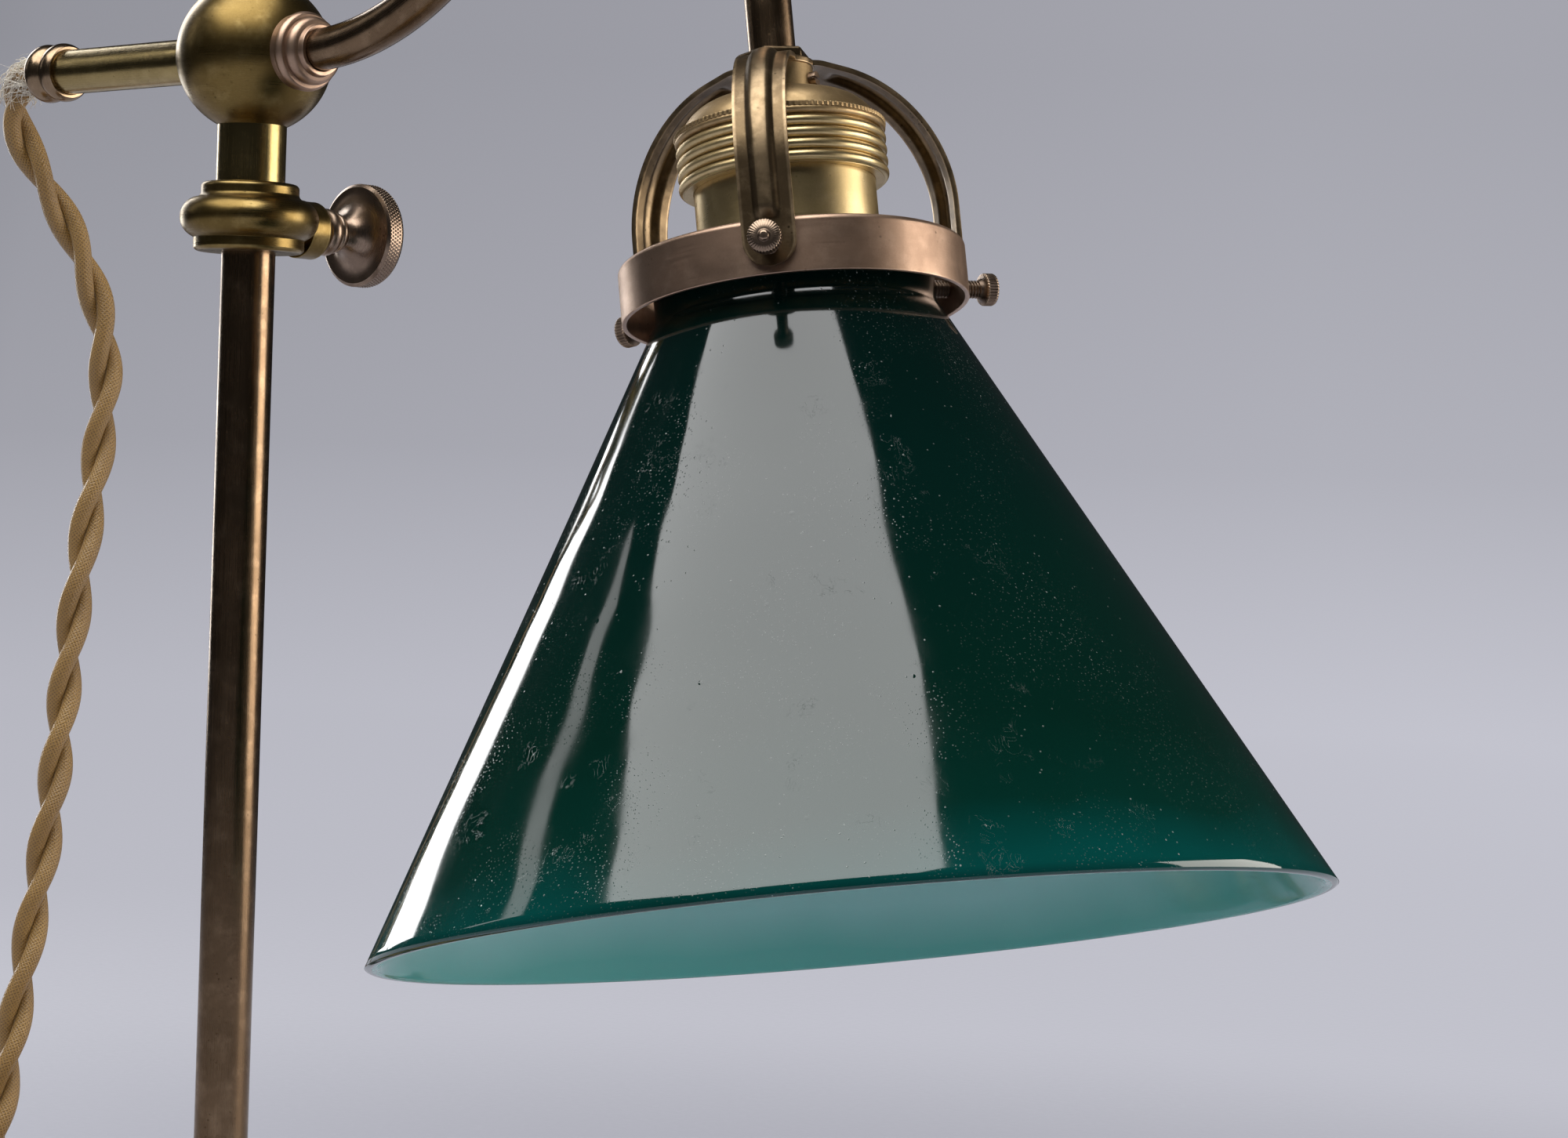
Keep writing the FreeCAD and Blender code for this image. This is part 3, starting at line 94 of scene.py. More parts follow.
# ---- profiles and meshes ------------------------------------------------------------------------
def outline(start, *steps):
    """(radius, height) points in mm; a step is a point, or an arc ((on the arc), (its end))."""
    points = [tuple(start)]
    for step in steps:
        if not isinstance(step[0], tuple):
            points.append(step)
            continue
        (x1, y1), (x2, y2), (x3, y3) = points[-1], step[0], step[1]
        d = 2 * (x1 * (y2 - y3) + x2 * (y3 - y1) + x3 * (y1 - y2))
        if abs(d) < 1e-9:
            points.append(step[1])
            continue
        s1, s2, s3 = x1 * x1 + y1 * y1, x2 * x2 + y2 * y2, x3 * x3 + y3 * y3
        cx = (s1 * (y2 - y3) + s2 * (y3 - y1) + s3 * (y1 - y2)) / d
        cy = (s1 * (x3 - x2) + s2 * (x1 - x3) + s3 * (x2 - x1)) / d
        r = math.hypot(x1 - cx, y1 - cy)
        a1 = math.atan2(y1 - cy, x1 - cx)
        a2 = math.atan2(y2 - cy, x2 - cx)
        a3 = math.atan2(y3 - cy, x3 - cx)
        sweep = (a3 - a1) % (2 * math.pi)
        if (a2 - a1) % (2 * math.pi) > sweep:
            sweep -= 2 * math.pi
        count = max(4, int(abs(sweep) / math.radians(7)))
        for i in range(1, count + 1):
            a = a1 + sweep * i / count
            points.append((cx + r * math.cos(a), cy + r * math.sin(a)))
    return points


def softened(points, radius=0.25, closed=False):
    """Rounds the corners of a profile, each by at most a third of its shorter run."""
    out = []
    count = len(points)
    for i, p in enumerate(points):
        if not closed and i in (0, count - 1):
            out.append(p)
            continue
        a = points[i - 1]
        b = points[(i + 1) % count]
        ua = (a[0] - p[0], a[1] - p[1])
        ub = (b[0] - p[0], b[1] - p[1])
        la, lb = math.hypot(*ua), math.hypot(*ub)
        if la < 1e-6 or lb < 1e-6:
            continue
        turn = math.pi - math.acos(max(-1, min(1, (ua[0] * ub[0] + ua[1] * ub[1]) / (la * lb))))
        if turn < math.radians(20):
            out.append(p)
            continue
        reach = min(radius * math.tan(turn / 2), la * 0.33, lb * 0.33)
        pa = (p[0] + ua[0] / la * reach, p[1] + ua[1] / la * reach)
        pb = (p[0] + ub[0] / lb * reach, p[1] + ub[1] / lb * reach)
        for k in range(5):
            t = k / 4
            out.append(tuple((1 - t) ** 2 * pa[n] + 2 * t * (1 - t) * p[n] + t * t * pb[n] for n in (0, 1)))
    return out


def edge_values(points, closed):
    """How convex (+) or hollow (-) a profile is at each of its points, from -1 to 1."""
    count = len(points)
    area = sum(points[i][0] * points[(i + 1) % count][1] - points[(i + 1) % count][0] * points[i][1]
               for i in range(count))
    sign = 1 if area > 0 else -1
    raw = []
    for i in range(count):
        if not closed and i in (0, count - 1):
            raw.append(0.0)
            continue
        a, p, b = points[i - 1], points[i], points[(i + 1) % count]
        v1 = (p[0] - a[0], p[1] - a[1])
        v2 = (b[0] - p[0], b[1] - p[1])
        turn = math.atan2(v1[0] * v2[1] - v1[1] * v2[0], v1[0] * v2[0] + v1[1] * v2[1])
        length = (math.hypot(*v1) + math.hypot(*v2)) / 2 + 1e-6
        raw.append(max(-1.0, min(1.0, sign * turn / max(length, 0.15) * 0.5)))
    return raw


def finish_mesh(mesh, place, body, mat, replaces=(), smooth=True, weighted=True, slot=None, bevel=0):
    """Makes the object, in place, riding on its body."""
    obj = bpy.data.objects.new(mesh.name, mesh)
    bpy.context.scene.collection.objects.link(obj)
    obj.matrix_world = place
    if smooth:
        mesh.polygons.foreach_set("use_smooth", [True] * len(mesh.polygons))
    mesh.materials.append(mat)
    if bevel:
        mod = obj.modifiers.new("bevel", "BEVEL")
        mod.width = bevel * MM
        mod.segments = 3
        mod.limit_method = "ANGLE"
        mod.angle_limit = math.radians(40)
        mod.harden_normals = False
    if weighted:
        mod = obj.modifiers.new("weighted", "WEIGHTED_NORMAL")
        mod.keep_sharp = True
    bpy.context.view_layer.update()
    if body:
        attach(obj, body)
    if replaces:
        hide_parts(*replaces)
    return obj


def mesh_of(name, verts, faces, uvs=None, edge=None):
    mesh = bpy.data.meshes.new(name)
    mesh.from_pydata([tuple(v) for v in verts], [], faces)
    if uvs is not None:
        layer = mesh.uv_layers.new(name="UVMap")
        flat = [c for face in uvs for uv in face for c in uv]
        layer.data.foreach_set("uv", flat)
    if edge is not None:
        att = mesh.attributes.new("edge", "FLOAT", "POINT")
        att.data.foreach_set("value", edge)
    mesh.update()
    return mesh


def revolve(name, points, place, body, mat, seg=128, shape=None, closed=False, round_to=0.25, **more):
    """A turned piece from (radius, height) points in mm. shape(r, z, angle) may change a radius."""
    points = softened(points, round_to, closed) if round_to else list(points)
    edges = edge_values(points, closed)
    verts, rows, edge = [], [], []
    length = [0.0]
    for a, b in zip(points, points[1:]):
        length.append(length[-1] + math.hypot(b[0] - a[0], b[1] - a[1]))
    for (r, z), e in zip(points, edges):
        if r < 1e-5:
            verts.append((0, 0, z * MM))
            edge.append(e)
            rows.append([len(verts) - 1] * seg)
            continue
        row = []
        for j in range(seg):
            t = 2 * math.pi * j / seg
            rr = (shape(r, z, t) if shape else r) * MM
            verts.append((rr * math.cos(t), rr * math.sin(t), z * MM))
            edge.append(e)
            row.append(len(verts) - 1)
        rows.append(row)
    wide = max(p[0] for p in points)
    faces, uvs = [], []
    spans = list(range(len(rows) - 1)) + ([len(rows) - 1] if closed else [])
    for i in spans:
        a, b = rows[i], rows[(i + 1) % len(rows)]
        va = length[i] * MM
        vb = (length[i + 1] if i + 1 < len(rows) else length[i] + 1) * MM
        for j in range(seg):
            k = (j + 1) % seg
            u0, u1 = (2 * math.pi * wide * MM * x / seg for x in (j, j + 1))
            quad = [a[j], b[j], b[k], a[k]]
            uv = [(u0, va), (u0, vb), (u1, vb), (u1, va)]
            keep = [n for n in range(4) if quad[n] != quad[n - 1]]
            if len(keep) < 3:
                continue
            faces.append([quad[n] for n in keep])
            uvs.append([uv[n] for n in keep])
    mesh = mesh_of(name, verts, faces, uvs, edge)
    area = sum(a[0] * b[1] - b[0] * a[1] for a, b in zip(points, points[1:] + points[:1]))
    if area > 0:
        mesh.flip_normals()
    return finish_mesh(mesh, place, body, mat, **more)


def frames_along(points):
    """A side direction at each point, carried along without twist."""
    side = None
    out = []
    for i in range(len(points)):
        a = points[max(i - 1, 0)]
        b = points[min(i + 1, len(points) - 1)]
        t = (b - a).normalized()
        if side is None:
            side = t.orthogonal().normalized()
        side = (side - t * side.dot(t)).normalized()
        out.append((t, side, t.cross(side)))
    return out


def tube_data(points, radius, seg, spin=0.0, cap=True):
    """Vertices, faces and UVs of a tube; radius is a number or one for each point."""
    verts, faces, uvs = [], [], []
    dist = 0.0
    radii = radius if isinstance(radius, (list, tuple)) else [radius] * len(points)
    lengths = []
    for i, ((_, s, n), p) in enumerate(zip(frames_along(points), points)):
        if i:
            dist += (points[i] - points[i - 1]).length
        lengths.append(dist)
        for j in range(seg):
            a = 2 * math.pi * j / seg + spin * dist
            verts.append(p + (s * math.cos(a) + n * math.sin(a)) * radii[i])
    r0 = max(radii)
    for i in range(len(points) - 1):
        for j in range(seg):
            k = (j + 1) % seg
            faces.append([i * seg + j, i * seg + k, (i + 1) * seg + k, (i + 1) * seg + j])
            u0, u1 = 2 * math.pi * r0 * j / seg, 2 * math.pi * r0 * (j + 1) / seg
            uvs.append([(u0, lengths[i]), (u1, lengths[i]), (u1, lengths[i + 1]), (u0, lengths[i + 1])])
    if cap:
        for base, flip in ((0, True), ((len(points) - 1) * seg, False)):
            ring = [base + j for j in range(seg)]
            faces.append(ring[::-1] if flip else ring)
            uvs.append([(0, 0)] * seg)
    return verts, faces, uvs


def tube(name, points, radius, seg, place, body, mat, cap=True, **more):
    verts, faces, uvs = tube_data(points, radius, seg, cap=cap)
    return finish_mesh(mesh_of(name, verts, faces, uvs, [0.0] * len(verts)), place, body, mat,
                       weighted=False, **more)


def knurl(count, depth, low, high, inner, cross=0.0):
    """A radius change that cuts straight or crossed grooves between two heights outside a radius."""
    def shape(r, z, t):
        if r < inner or z < low or z > high:
            return r
        if cross:
            a = math.cos(count * t + z * cross)
            b = math.cos(count * t - z * cross)
            return r - depth * (1 - max(0.0, a) * max(0.0, b)) * 0.9
        return r - depth * (0.5 - 0.5 * math.cos(count * t)) ** 0.7
    return shape


def helical(pitch, depth, low, high, limit):
    """A radius change that cuts a thread between two heights, on radii over a limit."""
    def shape(r, z, t):
        if r < limit or z < low or z > high:
            return r
        return r - depth * (0.5 - 0.5 * math.cos(2 * math.pi * (z / pitch) - t))
    return shape


def rows_between(r, low, high, step):
    """Points up a straight side, close enough together for a thread or a knurl."""
    count = max(2, int(abs(high - low) / step))
    return [(r, low + (high - low) * i / count) for i in range(count + 1)]


# ---- materials ----------------------------------------------------------------------------------
class Mat:
    """A small builder for node materials."""

    def __init__(self, name, slot):
        self.mat = bpy.data.materials.new(name)
        self.mat.use_nodes = True
        self.mat["slot"] = slot
        self.tree = self.mat.node_tree
        self.tree.nodes.clear()
        self.out = self.tree.nodes.new("ShaderNodeOutputMaterial")
        self.shader = self.tree.nodes.new("ShaderNodeBsdfPrincipled")
        self.tree.links.new(self.shader.outputs[0], self.out.inputs[0])
        self.coords = self.tree.nodes.new("ShaderNodeTexCoord")

    def put(self, socket, value):
        if isinstance(value, bpy.types.NodeSocket):
            self.tree.links.new(value, socket)
        else:
            socket.default_value = value

    def set(self, name, value):
        self.put(self.shader.inputs[name], value)
        return self

    def node(self, kind, out=0, props=None, **inputs):
        n = self.tree.nodes.new("ShaderNode" + kind)
        for key, value in (props or {}).items():
            setattr(n, key, value)
        for key, value in inputs.items():
            self.put(n.inputs[key.replace("_", " ")], value)
        return n.outputs[out]

    def object(self):
        return self.coords.outputs["Object"]

    def uv(self):
        return self.coords.outputs["UV"]

    def stretched(self, vector, scale):
        return self.node("Mapping", Vector=vector, Scale=scale)

    def noise(self, scale, detail=3.0, rough=0.55, vector=None, distortion=0.0):
        return self.node("TexNoise", Vector=vector or self.object(), Scale=scale, Detail=detail,
                         Roughness=rough, Distortion=distortion)

    def fit(self, value, a, b, c, d):
        return self.node("MapRange", Value=value, From_Min=a, From_Max=b, To_Min=c, To_Max=d)

    def math(self, op, a, b=0.0, c=0.0):
        n = self.tree.nodes.new("ShaderNodeMath")
        n.operation = op
        for socket, value in zip(n.inputs, (a, b, c)):
            self.put(socket, value)
        return n.outputs[0]

    def mix(self, factor, a, b, blend="MIX"):
        n = self.tree.nodes.new("ShaderNodeMix")
        n.data_type = "RGBA"
        n.blend_type = blend
        self.put(n.inputs[0], factor)
        self.put(n.inputs[6], a if isinstance(a, bpy.types.NodeSocket) else (*a, 1))
        self.put(n.inputs[7], b if isinstance(b, bpy.types.NodeSocket) else (*b, 1))
        return n.outputs[2]

    def ramp(self, value, *stops):
        n = self.tree.nodes.new("ShaderNodeValToRGB")
        self.put(n.inputs[0], value)
        while len(n.color_ramp.elements) < len(stops):
            n.color_ramp.elements.new(0.5)
        for element, (place, colour) in zip(n.color_ramp.elements, stops):
            element.position = place
            element.color = (*colour, 1) if isinstance(colour, tuple) else (colour, colour, colour, 1)
        return n.outputs[0]

    def bump(self, height, strength, distance, normal=None):
        inputs = {"Height": height, "Strength": strength, "Distance": distance}
        if normal is not None:
            inputs["Normal"] = normal
        return self.node("Bump", **inputs)

    def edge(self):
        n = self.tree.nodes.new("ShaderNodeAttribute")
        n.attribute_name = "edge"
        return n.outputs["Fac"]


def metal(name, slot, light, body, dark, rough=0.3, streak=None, spots=0.5, patina_and_shade=0.6, scale=1.0,
          worn=0.5, blotch=0.5, pits=0.05, dents=0.03):
    """Old lacquered or patinated metal: mottled colour, worn convex edges, fine scratches, and hollows
    darkened partly as patina and partly as painted shade.
    """
    m = Mat(name, slot)
    cloud = m.noise(55 * scale, 5.0, 0.6, distortion=0.4)
    colour = m.mix(m.fit(cloud, 0.36, 0.66, 0.0, blotch), body, dark)
    tint = m.noise(190 * scale, 3.0, 0.6)
    colour = m.mix(m.fit(tint, 0.5, 0.8, 0.0, 0.4), colour, light)
    fine = m.noise(2600, 2.0, 0.6)
    colour = m.mix(m.fit(fine, 0.35, 0.75, 0.0, 0.25), colour, dark)
    edge = m.edge()
    wear = m.math("MULTIPLY", m.fit(edge, 0.1, 0.8, 0.0, worn), m.fit(m.noise(420, 3.0), 0.3, 0.6, 0.35, 1.0))
    colour = m.mix(wear, colour, light)
    # Concave places are darkened towards a near-black brown: partly patina, partly painted shade standing in
    # for occlusion.
    hollow = m.math("MULTIPLY", m.fit(edge, -0.05, -0.7, 0.0, patina_and_shade),
                    m.fit(m.noise(260, 3.0), 0.25, 0.6, 0.5, 1.0))
    colour = m.mix(hollow, colour, tuple(c * 0.35 for c in dark))
    specks = m.node("TexVoronoi", 0, Vector=m.object(), Scale=620.0, Randomness=1.0)
    speck = m.math("MULTIPLY", m.fit(specks, 0.1, 0.22, 1.0, 0.0),
                   m.fit(m.noise(140, 3.0), 0.52, 0.68, 0.0, spots))
    colour = m.mix(speck, colour, tuple(c * 0.3 for c in dark))
    m.set("Base Color", colour)
    m.set("Metallic", 1.0)
    base = m.fit(cloud, 0.3, 0.7, rough * 0.8, rough * 1.25)
    base = m.math("ADD", base, m.math("MULTIPLY", hollow, 0.2))
    base = m.math("ADD", base, m.math("MULTIPLY", speck, 0.25))
    if streak:
        stretch = (60, 9000, 1) if streak == "ring" else (9000, 60, 1)
        lines = m.noise(1.0, 3.0, 0.65, m.stretched(m.uv(), stretch))
        base = m.math("ADD", base, m.fit(lines, 0.3, 0.7, -0.05, 0.07))
        normal = m.bump(lines, 0.12, 0.00006)
    else:
        normal = m.bump(fine, 0.1, 0.00005)
    normal = m.bump(m.noise(330 * scale, 4.0, 0.6), pits, 0.0003, normal)
    normal = m.bump(m.noise(42 * scale, 2.0, 0.5), dents, 0.0010, normal)
    m.set("Roughness", base)
    m.set("Normal", normal)
    return m.mat


aged_brass = metal("aged_brass", "aged_brass", (0.50, 0.37, 0.16), (0.21, 0.142, 0.048),
                   (0.095, 0.060, 0.018), 0.30, "ring", spots=0.5, worn=0.55)
sleeve_brass = metal("sleeve_brass", "aged_brass", (0.66, 0.51, 0.25), (0.40, 0.30, 0.125),
                     (0.22, 0.155, 0.058), 0.22, "axial", spots=0.3, blotch=0.35)
cap_brass = metal("cap_brass", "aged_brass", (0.66, 0.48, 0.26), (0.44, 0.31, 0.16), (0.25, 0.165, 0.075),
                  0.46, None, spots=0.9, worn=0.6, blotch=0.8, scale=1.6, pits=0.15)
barrel_brass = metal("barrel_brass", "aged_brass", (0.86, 0.70, 0.41), (0.64, 0.49, 0.25),
                     (0.40, 0.285, 0.125), 0.34, "ring", spots=0.5, blotch=0.5)
post_bronze = metal("post_bronze", "bronze_brass", (0.54, 0.38, 0.24), (0.22, 0.145, 0.085),
                    (0.115, 0.072, 0.040), 0.23, "axial", spots=0.5, blotch=0.5, dents=0.015)
ring_bronze = metal("ring_bronze", "bronze_brass", (0.70, 0.50, 0.37), (0.46, 0.31, 0.22),
                    (0.27, 0.175, 0.12), 0.38, "ring", spots=0.6, blotch=0.55)
strap_bronze = metal("strap_bronze", "bronze_brass", (0.44, 0.32, 0.19), (0.165, 0.115, 0.062),
                     (0.08, 0.054, 0.031), 0.34, None, spots=1.0, blotch=0.8, worn=0.8, scale=1.5, pits=0.15)
knob_bronze = metal("knob_bronze", "dark_knob_brass", (0.58, 0.44, 0.32), (0.31, 0.225, 0.165),
                    (0.16, 0.11, 0.08), 0.3, "ring", spots=0.6, worn=0.8)
screw_bronze = metal("screw_bronze", "bronze_brass", (0.50, 0.37, 0.26), (0.25, 0.18, 0.13),
                     (0.12, 0.085, 0.065), 0.34, "ring", spots=0.6, worn=0.8)
ferrule_bronze = metal("ferrule_bronze", "bronze_brass", (0.58, 0.42, 0.28), (0.30, 0.21, 0.13),
                       (0.14, 0.095, 0.06), 0.22, "ring", spots=0.4)
bright_brass = metal("bright_brass", "bright_brass", (0.86, 0.68, 0.36), (0.72, 0.53, 0.24),
                     (0.45, 0.31, 0.12), 0.24, "ring", spots=0.2, blotch=0.3)
steel = metal("steel", "steel", (0.62, 0.62, 0.62), (0.48, 0.48, 0.49), (0.25, 0.24, 0.23), 0.32, None,
              spots=0.5)
iron = metal("iron", "cast_iron", (0.12, 0.12, 0.12), (0.05, 0.05, 0.052), (0.02, 0.02, 0.02), 0.6, None,
             scale=2.0)
tungsten = metal("tungsten", "tungsten", (0.4, 0.4, 0.42), (0.28, 0.28, 0.3), (0.12, 0.12, 0.13), 0.4, None)


def bakelite():
    m = Mat("bakelite", "bakelite_brown")
    swirl = m.noise(70, 6.0, 0.65, distortion=1.6)
    colour = m.ramp(swirl, (0.3, (0.018, 0.009, 0.006)), (0.55, (0.045, 0.021, 0.012)),
                    (0.8, (0.09, 0.042, 0.022)))
    m.set("Base Color", colour)
    m.set("Roughness", m.fit(m.noise(900, 3.0), 0.3, 0.7, 0.18, 0.34))
    m.set("Normal", m.bump(m.noise(500, 3.0), 0.08, 0.0002))
    m.set("Coat Weight", 0.25)
    return m.mat


def porcelain():
    m = Mat("porcelain", "porcelain")
    m.set("Base Color", m.ramp(m.noise(90, 3.0), (0.3, (0.72, 0.69, 0.61)), (0.7, (0.84, 0.82, 0.76))))
    m.set("Roughness", m.fit(m.noise(300, 2.0), 0.3, 0.7, 0.12, 0.3))
    m.set("Normal", m.bump(m.noise(260, 3.0), 0.06, 0.0002))
    return m.mat


def rubber():
    m = Mat("rubber", "rubber_dark")
    m.set("Base Color", m.ramp(m.noise(300, 4.0), (0.3, (0.016, 0.015, 0.014)), (0.75, (0.05, 0.046, 0.04))))
    m.set("Roughness", m.fit(m.noise(700, 3.0), 0.3, 0.7, 0.55, 0.8))
    m.set("Normal", m.bump(m.noise(1500, 2.0), 0.15, 0.0002))
    return m.mat


def felt():
    m = Mat("felt", "felt")
    fuzz = m.noise(1900, 5.0, 0.7)
    m.set("Base Color", m.ramp(fuzz, (0.3, (0.010, 0.035, 0.022)), (0.7, (0.03, 0.09, 0.058))))
    m.set("Roughness", m.fit(fuzz, 0.3, 0.7, 0.85, 1.0))
    m.set("Sheen Weight", 0.6)
    m.set("Normal", m.bump(fuzz, 0.6, 0.0006))
    return m.mat


def leather():
    m = Mat("leather", "leather_tie")
    cells = m.node("TexVoronoi", 0, Vector=m.object(), Scale=1100.0)
    cloud = m.noise(160, 4.0)
    m.set("Base Color", m.mix(m.fit(cells, 0.0, 0.6, 0.6, 0.0),
                              m.ramp(cloud, (0.3, (0.16, 0.075, 0.035)), (0.7, (0.27, 0.14, 0.07))),
                              (0.07, 0.03, 0.015)))
    m.set("Roughness", m.fit(cloud, 0.3, 0.7, 0.42, 0.62))
    m.set("Normal", m.bump(cells, 0.35, 0.0003))
    return m.mat


def textile():
    """Braided rayon: two crossed sets of fine yarns, on the strand's own lengths, with painted shade in the
    gaps between the yarns and a painted sheen along the fibres.
    """
    m = Mat("gold_braid", "gold_textile")
    parts = m.tree.nodes.new("ShaderNodeSeparateXYZ")
    m.put(parts.inputs[0], m.uv())
    u = m.math("MULTIPLY", parts.outputs[0], 2 * math.pi * 950)
    v = m.math("MULTIPLY", parts.outputs[1], 2 * math.pi * 1000)
    wobble = m.fit(m.noise(240, 2.0), 0.3, 0.7, -1.3, 1.3)
    one = m.math("SINE", m.math("ADD", m.math("ADD", u, v), wobble))
    two = m.math("SINE", m.math("ADD", m.math("SUBTRACT", u, v), wobble))
    over = m.math("SINE", m.math("MULTIPLY", u, 0.5))
    yarn = m.math("MAXIMUM", m.math("MULTIPLY", one, m.fit(over, -1, 1, 0.55, 1.0)),
                  m.math("MULTIPLY", two, m.fit(over, 1, -1, 0.55, 1.0)))
    fibre = m.noise(1.0, 3.0, 0.7, m.stretched(m.uv(), (9000, 1500, 1)))
    height = m.math("ADD", m.math("MULTIPLY", yarn, 0.8), fibre)
    cloud = m.noise(60, 4.0, 0.6)
    base = m.ramp(cloud, (0.3, (0.27, 0.145, 0.030)), (0.7, (0.38, 0.215, 0.050)))
    # Painted shade: the gaps between the yarns are darkened towards a deep brown.
    colour = m.mix(m.fit(yarn, -0.6, 0.7, 0.75, 0.0), base, (0.085, 0.042, 0.011))
    # Painted sheen: the fibre streaks are lightened towards a pale gold highlight colour.
    colour = m.mix(m.fit(fibre, 0.5, 0.8, 0.0, 0.5), colour, (0.60, 0.40, 0.17))
    m.set("Base Color", colour)
    m.set("Roughness", m.fit(fibre, 0.3, 0.7, 0.34, 0.52))
    m.set("Specular IOR Level", 0.75)
    m.set("Sheen Weight", 0.2)
    m.set("Sheen Roughness", 0.35)
    m.set("Normal", m.bump(height, 0.45, 0.0002))
    return m.mat


def cotton():
    m = Mat("raw_cotton", "gold_textile")
    fuzz = m.noise(2200, 4.0, 0.7)
    m.set("Base Color", m.ramp(fuzz, (0.3, (0.62, 0.54, 0.40)), (0.7, (0.90, 0.85, 0.74))))
    m.set("Roughness", m.fit(fuzz, 0.3, 0.7, 0.7, 0.95))
    m.set("Sheen Weight", 0.5)
    m.set("Normal", m.bump(fuzz, 0.5, 0.0002))
    return m.mat


def glass_outside():
    """Dark green cased glass: gloss with slow waves, seeds, dust and fine scratches, painted lighter towards
    the rim as painted light coming through the wall.
    """
    m = Mat("glass_green", "glass_green")
    parts = m.tree.nodes.new("ShaderNodeSeparateXYZ")
    m.put(parts.inputs[0], m.object())
    # Painted light: the green is lighter further down, most at the rim, standing in for light coming through
    # the glass.
    down = m.fit(parts.outputs[2], 0.0, -0.130, 0.0, 1.0)
    cloud = m.noise(14, 3.0, 0.5)
    colour = m.ramp(m.math("ADD", down, m.fit(cloud, 0.3, 0.7, -0.06, 0.06)),
                    (0.0, (0.0002, 0.0055, 0.0043)), (0.35, (0.0002, 0.0110, 0.0083)),
                    (0.75, (0.0003, 0.0165, 0.0105)), (0.9, (0.0003, 0.024, 0.0165)),
                    (1.0, (0.0004, 0.052, 0.045)))
    cells = m.node("TexVoronoi", 0, Vector=m.object(), Scale=430.0)
    where = m.fit(m.noise(24, 3.0, 0.6), 0.42, 0.66, 0.0, 1.0)
    dust = m.math("MULTIPLY", m.fit(cells, 0.035, 0.10, 1.0, 0.0), where)
    small = m.node("TexVoronoi", 0, Vector=m.object(), Scale=1300.0)
    haze = m.math("MULTIPLY", m.fit(small, 0.05, 0.24, 0.5, 0.0),
                  m.fit(m.noise(40, 3.0), 0.45, 0.7, 0.0, 0.8))
    lint = m.noise(1.0, 2.0, 0.5, m.stretched(m.object(), (240, 240, 90)), distortion=3.0)
    hair = m.math("MULTIPLY", m.fit(m.math("ABSOLUTE", m.math("SUBTRACT", lint, 0.5)), 0.0, 0.0022, 1.0, 0.0),
                  m.fit(m.noise(90, 2.0), 0.62, 0.68, 0.0, 0.6))
    dirt = m.math("MAXIMUM", m.math("MAXIMUM", dust, haze), hair)
    m.set("Base Color", m.mix(m.math("MULTIPLY", dirt, 0.55), colour, (0.45, 0.47, 0.44)))
    smear = m.noise(1.0, 4.0, 0.6, m.stretched(m.object(), (90, 90, 26)))
    gloss = m.fit(smear, 0.35, 0.75, 0.04, 0.12)
    m.set("Roughness", m.math("ADD", gloss, m.math("MULTIPLY", dirt, 0.4)))
    m.set("IOR", 1.5)
    m.set("Specular IOR Level", 0.62)
    wave = m.noise(1.0, 1.0, 0.3, m.stretched(m.object(), (10, 10, 32)))
    slow = m.noise(11, 1.0, 0.5)
    normal = m.bump(wave, 0.5, 0.0024)
    normal = m.bump(slow, 0.5, 0.0036, normal)
    seeds = m.node("TexVoronoi", 0, Vector=m.object(), Scale=95.0)
    normal = m.bump(m.fit(seeds, 0.0, 0.06, 1.0, 0.0), 0.6, 0.0002, normal)
    normal = m.bump(dirt, 0.4, 0.00015, normal)
    m.set("Normal", normal)
    return m.mat


def glass_inside():
    """The opal layer, painted greener and darker towards the rim: painted light, standing in for light coming
    in through the green layer.
    """
    m = Mat("glass_opal", "glass_green")
    parts = m.tree.nodes.new("ShaderNodeSeparateXYZ")
    m.put(parts.inputs[0], m.object())
    # Painted light: the opal's own pale colour turns green towards the rim, as if lit through the green
    # layer.
    down = m.fit(parts.outputs[2], -0.040, -0.1300, 0.0, 1.0)
    cloud = m.noise(11, 3.0, 0.5)
    shade = m.math("ADD", down, m.fit(cloud, 0.3, 0.7, -0.05, 0.05))
    colour = m.ramp(shade, (0.0, (0.66, 0.74, 0.73)), (0.6, (0.42, 0.62, 0.61)), (0.86, (0.27, 0.55, 0.52)),
                    (0.97, (0.115, 0.42, 0.37)))
    dust = m.fit(m.node("TexVoronoi", 0, Vector=m.object(), Scale=500.0), 0.03, 0.09, 1.0, 0.0)
    m.set("Base Color", m.mix(m.math("MULTIPLY", dust, 0.3), colour, (0.3, 0.33, 0.32)))
    m.set("Roughness", m.fit(m.noise(30, 3.0), 0.3, 0.7, 0.08, 0.18))
    m.set("Normal", m.bump(m.noise(18, 2.0), 0.4, 0.0012))
    m.set("Subsurface Weight", 0.25)
    m.set("Subsurface Radius", (0.004, 0.009, 0.008))
    m.set("Subsurface Scale", 1.0)
    return m.mat


def clear_glass():
    m = Mat("bulb_clear", "bulb_clear")
    m.set("Base Color", m.ramp(m.noise(60, 2.0), (0.3, (0.96, 0.97, 0.96)), (0.7, (1.0, 1.0, 1.0))))
    m.set("Roughness", m.fit(m.noise(120, 2.0), 0.3, 0.7, 0.0, 0.03))
    m.set("Transmission Weight", 1.0)
    m.set("IOR", 1.45)
    m.set("Normal", m.bump(m.noise(50, 2.0), 0.1, 0.0005))
    return m.mat


BAKELITE = bakelite()
PORCELAIN = porcelain()
RUBBER = rubber()
FELT = felt()
LEATHER = leather()
TEXTILE = textile()
COTTON = cotton()
GREEN = glass_outside()
OPAL = glass_inside()
CLEAR = clear_glass()

